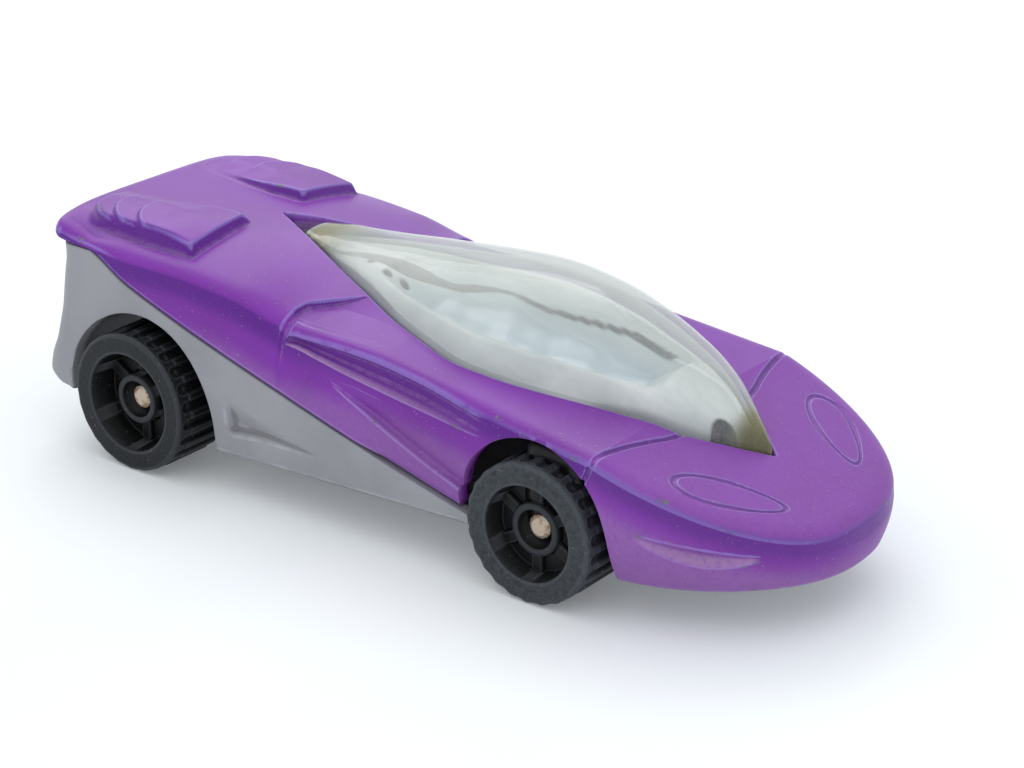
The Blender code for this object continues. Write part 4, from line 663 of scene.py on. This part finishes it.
outer, bodyMasks = bodyGrid(stations)
plain = np.zeros((len(outer), 1))
shellMasks = {key: np.concatenate([plain, value, plain], axis=1) for key, value in bodyMasks.items()}
holeWall, rimBack = outer[:, :1].copy(), outer[:, -1:].copy()
holeWall[outer[:, 0, 1] > 0.02, 0, 2] -= bodyPiece["wall"]
inX, inY = inwardOf(outer[:, -1, 0], outer[:, -1, 1])
rimBack[:, 0, 0] += bodyPiece["rimWidth"] * inX
rimBack[:, 0, 1] = np.maximum(rimBack[:, 0, 1] + bodyPiece["rimWidth"] * inY, 0)
shell = np.concatenate([holeWall, outer, rimBack], axis=1)
tailCap = np.stack([outer[0], outer[0]])
tailCap[1, :, 0] = outer[0, 0, 0]
tailCap[1, :, 2] = np.minimum(outer[0, :, 2], 18.45)
innerXs = np.concatenate([np.linspace(-28.9, 13, 36), behindPanel[::3]]) - car["panel"]
innerStations = np.unique(np.concatenate([innerXs, np.linspace(0.01, 1, 40)]))
innerShell = bodyGrid(innerStations, bodyPiece["wall"], fine=False)[0]
tailUnder = gridOf(np.array([[-32.2], [-27]]), np.linspace(0, 11.8, 9), 18.42)


def turnedGrid(profile, x):  # half a turn of a (radius, height) profile, because its mesh is mirrored
    r, h = (np.array(column)[:, None] for column in zip(*profile))
    angle = np.linspace(0, math.pi, 49)[None, :]
    return gridOf(x + r * np.cos(angle), r * np.sin(angle), h)


def boxGrid(x0, x1, y0, y1, z0, z1, bevel=0.12):  # an upright bar with eased corners, open at its top
    rings = []
    for z, a in ((z1, 0), (z0 + bevel, 0), (z0, bevel)):
        corners = ((x0 + a, y0 + a), (x1 - a, y0 + a), (x1 - a, y1 - a), (x0 + a, y1 - a), (x0 + a, y0 + a))
        rings.append([(x, y, z) for x, y in corners])
    rings.append([((x0 + x1) / 2, (y0 + y1) / 2, z0)] * 5)
    return np.array(rings)


postGrids = []
for x, bottom in car["posts"]:
    top = float(deckCentreZ(x)) - bodyPiece["wall"] / 2
    foot = ((1.6, 2.3), (1.5, 2.2), (1, 2.2), (1, 0.65), (1.5, 0.5), (1.35, 0.33), (0.9, 0.2), (0, 0.16))
    profile = [(1.6, top)] + [(r, bottom + h) for r, h in foot]  # peened over below the pan
    postGrids.append((turnedGrid(profile, x), True))
keeper = boxGrid(*bodyPiece["keeper"], float(deckCentreZ(car["rearAxle"][0])) - bodyPiece["wall"] / 2)
# the hidden inside parts take the painted shade
hidden = [(grid, True, {"extra": np.full(grid.shape[:2], 2)}) for grid in (innerShell, tailUnder, keeper)]
bodyGrids = [(shell, False, shellMasks), (tailCap, True)] + hidden + postGrids
body = meshObject("bodyCasting", bodyGrids, enamel, mirror=True)
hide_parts("body_shell")
print("body", len(body.data.polygons))

canopyPiece = {
    "gap": 0.2, "wall": 0.7, "flange": 0.8, "drop": 1.8, "rear": -14.8, "front": 33.7, "steps": 170,
    "rearZ": 20.25, "top": 21.3, "frontZ": 11.03}


def canopyRidgeZ(x):
    rearZ, top, frontZ = (canopyPiece[key] for key in ("rearZ", "top", "frontZ"))
    return smoothCurve([
        (-16.2, rearZ - 0.5), (-6.12, mix(rearZ, top, 0.05)), (-0.07, mix(rearZ, top, 0.5)), (10.51, top),
        (16.06, mix(top, frontZ, 0.04)), (21.1, mix(top, frontZ, 0.14)), (25.13, mix(top, frontZ, 0.29)),
        (29.16, mix(top, frontZ, 0.52)), (32.18, mix(top, frontZ, 0.75)), (34.2, frontZ)], x)


def canopyLines(x):
    p = canopyPiece
    half = openingY(x) - p["gap"]
    base = deckZ(x, half)
    ridge = np.maximum(canopyRidgeZ(x), base - 0.4)
    flangeTop = base - p["drop"]
    spring = np.minimum(base, mix(flangeTop, ridge, 0.8))
    innerHalf = np.maximum(half - p["wall"], 0.3 * half)
    innerRidge = np.maximum(ridge - p["wall"], flangeTop - p["wall"] + 0.3)
    innerSpring = np.minimum(spring, mix(flangeTop - p["wall"], innerRidge, 0.7))
    return (half, flangeTop, spring, ridge), (innerHalf, flangeTop - p["wall"], innerSpring, innerRidge)


def domeGrid(x, lines):
    half, flangeZ, spring, ridge = lines
    angle = np.linspace(math.pi / 2, 0, 49)[None, :]
    dome = gridOf(x, half * np.cos(angle), mix(spring, ridge, np.sin(angle)))
    foot = gridOf(x, half, flangeZ)
    flange = gridOf(x, openingY(x) - canopyPiece["gap"] + canopyPiece["flange"], flangeZ)
    return np.concatenate([dome, foot, flange], axis=1)


share = np.linspace(0, 1, canopyPiece["steps"])
share = mix(share, (1 - np.cos(math.pi * share)) / 2, 0.6)  # closer together towards the tips
x = mix(canopyPiece["rear"], canopyPiece["front"], share)[:, None]
outsideGrid, insideGrid = (domeGrid(x, lines) for lines in canopyLines(x))
# 1 at the thick tips, below 0 at the rear end, where the void shows
tips = np.maximum(ramp(-7, -10.5, x), ramp(30.8, 32, x)) - 2.4 * ramp(-11.6, -12.8, x)
tipMasks = {"extra": tips + 0 * outsideGrid[..., 0]}
canopyGrids = [(outsideGrid, False, tipMasks), (insideGrid, True, tipMasks)]
for row, flip in ((0, True), (-1, False)):
    cap = np.stack([outsideGrid[row]] * 2)
    cap[1, :, 2] = np.minimum(cap[0, :, 2], cap[0, -1, 2])
    canopyGrids.append((cap, flip, {"extra": np.ones(cap.shape[:2])}))
canopy = meshObject("canopyDome", canopyGrids, clear, mirror=True)
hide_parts("canopy")
print("canopy", len(canopy.data.polygons))

insertPiece = {
    "gap": 0.35, "rear": -10.2, "front": 31.6, "depth": 2, "thick": 0.7, "seat": 0.6, "seatX": 4.97,
    "folds": 0.16, "dots": ((-4.6, -2), (-2.2, -2.8), (-1, -2.1)), "dotDepth": 0.12,
    "leg": (19.8, 22.2, 2.2, 0.6, 6.95),  # rear, front, middle y, half width, foot
    "shadeBandUpper": (
        (-12.1, 3.1), (-8.4, 4.2), (-5.8, 4.4), (0, 3.1), (2.4, 4.3), (5, 4.5), (9.9, 3.6), (17.7, 3.5),
        (24.4, 1.2)),
    "shadeBandLower": (
        (-12.1, 2.4), (-7.8, 2.8), (-2.8, 1.6), (1.4, 1.8), (5, 3.9), (9.9, 2.7), (17.7, 2.4), (24.4, 0.1)),
    "shadeBandZ": 16.5, "rimHighlightLine": ((21.7, 4.5), (27.2, 2.4), (29.9, 0.6), (32.2, -1.5)), "rimShift": (2.9, 3.83),
    "patch": (30.9, -2.1)}


def insertGrid(x):  # full width, from the right rim to the left rim
    p = insertPiece
    innerHalf, canopyBottom, spring, ridge = canopyLines(x)[1]
    skirt = innerHalf - p["gap"]
    rimZ = canopyBottom - p["gap"]
    rimY = innerHalf + 0.4
    wallTop = spring - p["gap"]
    headroom = ridge - p["gap"] - wallTop
    signed = np.linspace(-1, 1, 181)[None, :]
    share = np.abs(signed)
    domeZ = wallTop + 0.8 * headroom * np.sqrt(np.maximum(1 - share ** 2, 0))
    coamingZ = wallTop + 0.4 * headroom
    seat = p["seat"] * np.exp(-((x - p["seatX"]) / 3.5) ** 2)
    floorZ = deckZ(x, innerHalf) - p["depth"] + seat
    tubZ = np.where(share > 0.8, mix(coamingZ, wallTop, ramp(0.84, 1, share)),
                    mix(floorZ, coamingZ, ramp(0.55, 0.8, share)))
    openness = smoothCurve([(4.5, 0), (6, 1)], skirt)
    z = mix(domeZ, tubZ, openness)
    y = skirt * signed
    inTub = ramp(0.75, 0.5, share) * openness
    folds = np.sin(0.9 * x + 0.7 * y) + 0.6 * np.sin(1.7 * y - 0.5 * x + 1)
    folds = folds + 0.4 * np.sin(2.3 * x + 1.1 * y + 2)
    z = z + p["folds"] * folds * inTub
    dots = 0 * z
    for dotX, dotY in p["dots"]:
        dots = np.maximum(dots, ramp(0.5, 0.3, np.hypot(x - dotX, y - dotY)))
    z = z - p["dotDepth"] * dots
    columns = [gridOf(x, reach, rimZ) for reach in (-rimY, -skirt, skirt, rimY)]
    columns.insert(2, gridOf(x, y, z))
    # the painted shade band and the painted highlight line are placed as the photograph shows them, at one
    # height along the line of sight
    along, across = x - 1.451 * (z - p["shadeBandZ"]), y + 1.915 * (z - p["shadeBandZ"])
    upper, lower = smoothCurve(p["shadeBandUpper"], along), smoothCurve(p["shadeBandLower"], along)
    # painted shade band along the insert's far side
    shadeBand = ramp(lower - 0.12, lower + 0.12, across) * ramp(upper + 0.12, upper - 0.12, across)
    shadeBand = shadeBand * ramp(-12.5, -11.5, along) * ramp(25, 24, along)
    fromRim = across + p["rimShift"][1] - smoothCurve(p["rimHighlightLine"], along - p["rimShift"][0])
    patch = ramp(1.25, 0.95, np.hypot((x - p["patch"][0]) / 1.1, (y - p["patch"][1]) / 0.9))
    patch = patch * ramp(-0.3, -0.7, fromRim)
    shadeAndMarks = np.maximum.reduce([shadeBand, dots, 1.6 * patch])
    # painted reflection in the tub and painted highlight along the front rim
    paintedReflection = np.maximum(inTub, 2 * ramp(0.4, 0.2, np.abs(fromRim)) * (along > 24.6))
    zero = np.zeros((len(x), 2))
    masks = {key: np.concatenate([zero, mask, zero], axis=1) for key, mask in (("extra", shadeAndMarks), ("tint", paintedReflection))}
    return np.concatenate(columns, axis=1), masks


x = np.linspace(insertPiece["rear"], insertPiece["front"], 260)[:, None]
insertTop, insertMasks = insertGrid(x)
insertUnder = insertTop.copy()
insertUnder[..., 2] -= insertPiece["thick"]
caps = []
for k, flip in ((0, True), (-1, False)):
    caps.append((np.stack([insertTop[k], insertUnder[k]]), flip))
    caps.append((np.stack([insertTop[:, k], insertUnder[:, k]], axis=1), not flip))
legTop = float(insertTop[np.argmin(np.abs(x[:, 0] - car["frontAxle"][0])), 92, 2]) - 0.4
legRear, legFront, legY, legHalf, legFoot = insertPiece["leg"]
for y in (legY, -legY):
    caps.append((boxGrid(legRear, legFront, y - legHalf, y + legHalf, legFoot, legTop), True))
insert = meshObject("cockpitInsert", [(insertTop, False, insertMasks), (insertUnder, True)] + caps, metallised)
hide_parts("cockpit_insert")
print("insert", len(insert.data.polygons))

chassisPiece = {
    "wall": 1.2, "seam": 0.2, "panThick": 1.1, "panHalf": 11, "noseHalf": 10.7, "well": 7.6, "corner": 1.7,
    "rearArch": (-20.55, 5.4, 8.45), "wells": ((-28.65, -12.45), (14.77, 27.23)), "panFront": 40.6,
    "recess": {"rear": -10.75, "front": 1.6, "depth": 0.65, "fall": 3.05 / 12.1},
    "faceRows": 24, "cornerRows": 26, "joinRows": 10, "rows": 84,
    "saddleY": (5.3, 6.5), "saddleHalf": 2, "saddleFoot": 3.3, "saddleRise": 1.15, "slot": 0.9}


def panBottomZ(x):
    return smoothCurve([(-29.3, 5.1), (-26.45, 3), (-26.4, 3), (26, 3), (28.1, 3.3), (42.1, 4.2)], x)


def tailX(z):  # the concave rear face, flared to a low rounded bumper
    return car["tail"] + smoothCurve([
        (4.9, 2.4), (5.1, 1.3), (5.5, 0.45), (6.3, -0.15), (7.6, 0.15), (9.9, 1.1), (13.2, 1.7), (16.5, 1.6),
        (18.2, 1.1)], z)


def flankY(x, z):  # half width of the car's side
    p = bodyPiece
    flank = flankShare(x)
    outerY = shoulderY(x) + mix(0.4, 1, flank) * p["spread"]
    outerZ = shoulderZ(x) - 0.1 - mix(0.2, 1, flank) * p["drop"]
    up = unit((z - p["beltZ"]) / (outerZ - p["beltZ"])) ** 2
    down = unit((p["beltZ"] - z) / 6) ** 2
    return np.where(z > p["beltZ"], mix(p["belt"], outerY, up), mix(p["belt"], p["sill"], down))


def recess(x, z):  # triangle pressed into the flank: sharp behind and below, soft along its long edge
    p = chassisPiece["recess"]
    low = smoothCurve([(-10.8, 5.55), (-6, 6), (1.4, 6.15)], x)
    slant = 9.2 - (x + 10.7) * p["fall"]
    share = ramp(0, 0.6, z - low) * ramp(0, 0.8, x - p["rear"]) * ramp(0, 2.1, slant - z)
    return p["depth"] * share * (x < p["front"])


def chassisGrid(inset):  # rows run from the tail's middle round its corner and along the flank
    p = chassisPiece
    rearXs = archStations(p["rearArch"])
    xs = np.concatenate([np.linspace(-27, 14.5, 250), rearXs[rearXs > -27], archXs[archXs < 15]])
    face, bend = p["faceRows"], p["faceRows"] + p["cornerRows"]
    flank = bend + p["joinRows"]
    along = np.concatenate([np.full(flank, -28), np.unique(xs)])[:, None]
    top = np.minimum(skirtZ(along), 18.1) - p["seam"]
    sill = np.maximum(smoothCurve([(-21, 3.2), (13.9, 4.6)], along), panBottomZ(along)) + inset * 0.9
    sill = np.where(along < -27.5, 5 + inset * 0.9, sill)
    z = mix(top, sill, np.linspace(0, 1, p["rows"] + 1)[None, :])
    x = along + 0 * z
    y = flankY(x, z) - inset
    if not inset:
        y = y - recess(x, z) - 0.25 * ramp(0.5, 0, z - sill) ** 2
    rear = tailX(z) + inset
    corner = p["corner"] - 0.5 * inset
    half = y[flank - 1]
    turn = np.linspace(math.pi / 2, 0, p["cornerRows"])[:, None]
    x[face:bend] = rear[:p["cornerRows"]] + corner - corner * np.sin(turn)
    y[face:bend] = half[None, :] - corner + corner * np.cos(turn)
    x[:face] = rear[:face]
    y[:face] = np.linspace(0, 1, face + 1)[:face, None] * (half - corner)[None, :]
    blend = np.linspace(0, 1, p["joinRows"] + 1)[1:, None]
    x[bend:flank] = mix(rear[:p["joinRows"]] + corner, -27.05, blend)
    y[bend:flank] = flankY(x[bend:flank], z[bend:flank]) - inset
    grid = gridOf(x, y, z)
    bottom = panBottomZ(x[:, -1:]) + inset * 0.92
    panY = np.minimum(p["panHalf"] - inset, y[:, -1:])
    edge = gridOf(x[:, -1:], panY, np.minimum(bottom, z[:, -1:]))
    grid = np.concatenate([grid, mix(grid[:, -1:], edge, 0.5), edge], axis=1)
    clipArch(grid, *p["rearArch"])
    clipArch(grid, *bodyPiece["arch"])
    return grid


def lipStrip(outsideGrid, insideGrid, column):  # closes the wall between two skins along one of their edges
    a, b = outsideGrid[:, column], insideGrid[:, column]
    return np.stack([a, mix(a, b, 0.12), mix(a, b, 0.88), b], axis=1)


def panGrid(x, half, top):
    z = panBottomZ(x) + (chassisPiece["panThick"] if top else 0)
    y = half[:, None] * np.linspace(0, 1, 24)[None, :]
    return gridOf(x[:, None], y, z[:, None])


skin, lining = chassisGrid(0), chassisGrid(chassisPiece["wall"])
wells = chassisPiece["wells"]
wellEdges = [edge + step for well in wells for edge in well for step in (-0.01, 0.01)]
panX = np.unique(np.concatenate([np.linspace(-29, 40.2, 300), wellEdges]))
inWell = sum((panX > a) & (panX < b) for a, b in wells) > 0
nose = np.clip((panX - car["panel"]) / (chassisPiece["panFront"] - car["panel"]), 0, 0.999)
noseHalf = chassisPiece["noseHalf"] * (1 - nose ** 1.75) ** (1 / 2.3)
panHalf = np.where(inWell, chassisPiece["well"], np.where(panX > 27, noseHalf, chassisPiece["panHalf"] - 0.3))
panUnder, panTop = panGrid(panX, panHalf, False), panGrid(panX, panHalf, True)
panEdge = np.stack([panUnder[:, -1], panTop[:, -1]], axis=1)
seats = []
for axleX, axleZ in (car["frontAxle"], car["rearAxle"]):  # U-shaped slots that carry the pins
    slot, half, foot = (chassisPiece[key] for key in ("slot", "saddleHalf", "saddleFoot"))
    top = axleZ + chassisPiece["saddleRise"]
    outline = [(axleX + half, foot), (axleX + half, top), (axleX + slot, top)]
    outline += [(axleX + slot * math.cos(a), axleZ - slot * math.sin(a)) for a in np.linspace(0, math.pi, 13)]
    outline += [(axleX - slot, top), (axleX - half, top), (axleX - half, foot)]
    px, pz = np.array(outline).T
    near, far = (gridOf(px, y, np.stack([pz, 0 * pz + foot])) for y in chassisPiece["saddleY"])
    seats += [(near, False), (far, True), (np.stack([near[0], far[0]]), True)]
for x, bottom in car["posts"]:  # bosses round the posts, above and below the pan
    above = [(1.15, 0.8), (1.15, 2), (2.1, 2), (2.2, 1.9), (2.2, 0.9)]
    below = [(2.6, -0.01), (1.75, -0.01), (1.65, 0.06), (1.65, 0.8), (1.15, 0.8)]
    seats += [(turnedGrid([(r, bottom + h) for r, h in profile], x), False) for profile in (above, below)]
chassis = meshObject("chassisPan", [
    (skin,), (lining, True), (lipStrip(skin, lining, -1),), (lipStrip(skin, lining, 0), True), (panUnder, True),
    (panTop,), (panEdge,)] + seats, moulding, mirror=True)
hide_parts("chassis")
print("chassis", len(chassis.data.polygons))

wheelPiece = {
    "front": {"radius": 5.9, "outer": 14.5, "dish": 4, "depth": 1.9, "dustAndPaintedLight": 0.85, "scallop": 0.12},
    # the rear wheels take less dust, as painted shade
    "rear": {"radius": 6.2, "outer": 15.25, "dish": 4.4, "depth": 2.6, "dustAndPaintedLight": 0.22, "scallop": 0.04},
    "width": 6.2, "lugs": 24, "turns": 384, "hub": 2.2, "hubDrop": 1.1, "bore": 0.85, "counterbore": 1.6,
    "boreFace": 2.3, "disc": 1.2, "spokes": 6, "spokeRise": 0.5, "grooveDepth": 0.42}


def wheelObject(name, kind, side, body):
    p, w = wheelPiece[kind], wheelPiece
    radius, dish, face = p["radius"], p["dish"], w["width"] / 2
    hub, bore, counter = (w[key] for key in ("hub", "bore", "counterbore"))
    floor, hubFace, boreFace = face - p["depth"], face - w["hubDrop"], face - w["boreFace"]
    backFloor = floor - w["disc"]
    angle = np.linspace(0, math.tau, w["turns"] + 1)[None, :]
    profile = [(bore, boreFace), (counter, boreFace), (counter, hubFace - 0.08), (counter + 0.08, hubFace),
               (hub - 0.1, hubFace), (hub, hubFace - 0.1), (hub + 0.02, floor + 0.1)]
    profile += [(r, floor) for r in np.linspace(hub + 0.1, dish - 0.35, 16)]
    profile += [(dish - 0.3, floor + 0.08), (dish - 0.05, face - 0.12), (dish + 0.03, face - 0.03)]
    profile += [(r, face) for r in np.linspace(dish + 0.12, radius - 0.32, 14)]
    profile += [(radius - 0.2, face - 0.03), (radius - 0.11, face - 0.1), (radius - 0.06, face - 0.2)]
    profile += [(radius - 0.05, y) for y in np.linspace(face - 0.28, face - 1.4, 20)]
    profile += [(radius, y) for y in np.linspace(face - 1.45, -face + 0.3, 20)]
    profile += [(radius - 0.15, -face + 0.05), (radius - 0.4, -face), (dish, -face), (dish - 0.3, backFloor),
                (hub, backFloor), (hub, -face + 0.4), (bore, -face + 0.4), (bore, boreFace)]
    r, y = np.array(profile, float).T
    r, y = (column[:, None] + 0 * angle for column in (r, y))
    # spokes rise from the dish floor
    spokeArc = np.abs((angle / math.tau * w["spokes"]) % 1 - 0.5) / w["spokes"] * math.tau
    inDish = (r > hub + 0.05) & (r < dish - 0.32) & (np.abs(y - floor) < 0.01)
    y = y + np.where(inDish, w["spokeRise"] * ramp(0.62, 0.42, spokeArc * r), 0)
    # a scalloped sidewall edge, then tread grooves that end in rounded scoops behind it
    phase = (angle / math.tau * w["lugs"]) % 1
    fromGroove = np.abs(phase - 0.5) * math.tau * radius / w["lugs"]
    back = face - y
    reach = np.hypot(fromGroove, np.maximum(1.05 - back, 0) * 0.9)
    groove = ramp(0.52, 0.3, reach) * (y > -face + 0.02)
    r = r - w["grooveDepth"] * groove * ramp(radius - 0.5, radius - 0.1, r)
    scallop = 0.5 - 0.5 * np.cos(phase * math.tau)
    r = r - p["scallop"] * scallop * ramp(0.6, 0.1, back) * ramp(radius - 0.6, radius - 0.2, r)
    inside = (y < face - 0.05) & (r < dish + 0.1)
    # dust on the outer face; the dish takes a tenth of it, as painted shade
    dustAndPaintedLight = p["dustAndPaintedLight"] * np.where(inside, 0.1, 1) * ramp(face - 5, face - 0.5, y)
    axleX, axleZ = car[f"{kind}Axle"]
    middle = p["outer"] - w["width"] / 2
    grid = gridOf(axleX + r * np.cos(angle), side * (middle + y), axleZ + r * np.sin(angle))
    return meshObject(name, [(grid, side > 0, {"extra": dustAndPaintedLight})], styrene, body=body)


for kind in ("front", "rear"):
    for side, word in ((1, "left"), (-1, "right")):
        node = f"{kind}_{word}_wheel"
        wheel = wheelObject(f"{kind}{word.title()}Wheel", kind, side, f"{kind}_{word}")
        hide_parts(node)
print("wheels made")

for kind in ("front", "rear"):
    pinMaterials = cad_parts[f"{kind}_axle"].data.materials
    pinMaterials.clear()
    pinMaterials.append(steel)
print("pins given their steel")

# camera fitted to the photograph
lens = {
    "place": (128.26, -157.65, 92.83), "azimuth": 37.19, "elevation": 22.59, "roll": 0.17, "focal": 91.25}
azimuth, elevation, roll = (math.radians(lens[key]) for key in ("azimuth", "elevation", "roll"))
flat = math.cos(elevation)
back = Vector((math.sin(azimuth) * flat, -math.cos(azimuth) * flat, math.sin(elevation)))
level = Vector((math.cos(azimuth), math.sin(azimuth), 0))
upright = back.cross(level)
right = level * math.cos(roll) + upright * math.sin(roll)
up = upright * math.cos(roll) - level * math.sin(roll)
cameraData = bpy.data.cameras.new("camera")
cameraData.lens = lens["focal"]
cameraData.sensor_width = 36
cameraData.clip_start = 0.01
camera = addObject("camera", cameraData)
place = (Vector(lens["place"]) - Vector((car["centreX"], 0, 0))) * 0.001
camera.matrix_world = Matrix.Translation(place) @ Matrix((right, up, back)).transposed().to_4x4()
bpy.context.scene.camera = camera

# a pale paper sheet that shows white to the camera yet keeps the shadow
paperSheet = {
    "half": 1.6,
    "shader": {"Roughness": 0.9, "Specular IOR Level": 0.1, "Emission Strength": 0.14,
               "Emission Color": hexLinear("#f4f8fc")},
    "patterns": {"pulp": (40, 3, 0.5)},
    "colour": "#e3e7e9",
    "layers": (("#e9ebec", 1, ("pulp", 0.3, 0.7)),)}
half = paperSheet["half"]
floorMesh = bpy.data.meshes.new("floor")
floorCorners = [(-half, -half, 0), (half, -half, 0), (half, half, 0), (-half, half, 0)]
floorMesh.from_pydata(floorCorners, [], [(0, 1, 2, 3)])
floorMesh.materials.append(makeMaterial("paperSheet", paperSheet))
floor = addObject("floor", floorMesh)

light = {
    "sky": "#f8fcff", "skyStrength": 0.86,  # place, target, size and power of each lamp, in metres and watts
    "lamps": {
        "windowLamp": ((-0.45, 0.4, 0.6), (0, 0, 0.01), (0.6, 0.5), 2),
        "skyLamp": ((0.1, -0.1, 0.9), (0, 0, 0), (1.2, 1.2), 2.2)}}
world = bpy.data.worlds.new("world")
bpy.context.scene.world = world
world.use_nodes = True
tree = world.node_tree
background = tree.nodes["Background"]
seen = 0
for ray in ("Is Camera Ray", "Is Glossy Ray", "Is Transmission Ray"):  # these see a full white
    path = addNode(tree, "LightPath", {}, ray)
    seen = addNode(tree, "Math", {0: seen, 1: path}, operation="ADD", use_clamp=True)
strength = addNode(tree, "MapRange", {"Value": seen, "To Min": light["skyStrength"]})
tree.links.new(strength, background.inputs["Strength"])
background.inputs["Color"].default_value = hexLinear(light["sky"])
for name, (place, target, size, power) in light["lamps"].items():
    lampData = bpy.data.lights.new(name, "AREA")
    lampData.shape = "RECTANGLE"
    lampData.size, lampData.size_y = size
    lampData.energy = power
    lamp = addObject(name, lampData)
    lamp.location = place
    lamp.rotation_euler = (Vector(target) - Vector(place)).to_track_quat("-Z", "Y").to_euler()
print("stage lit")

bpy.context.scene.view_settings.view_transform = "Standard"
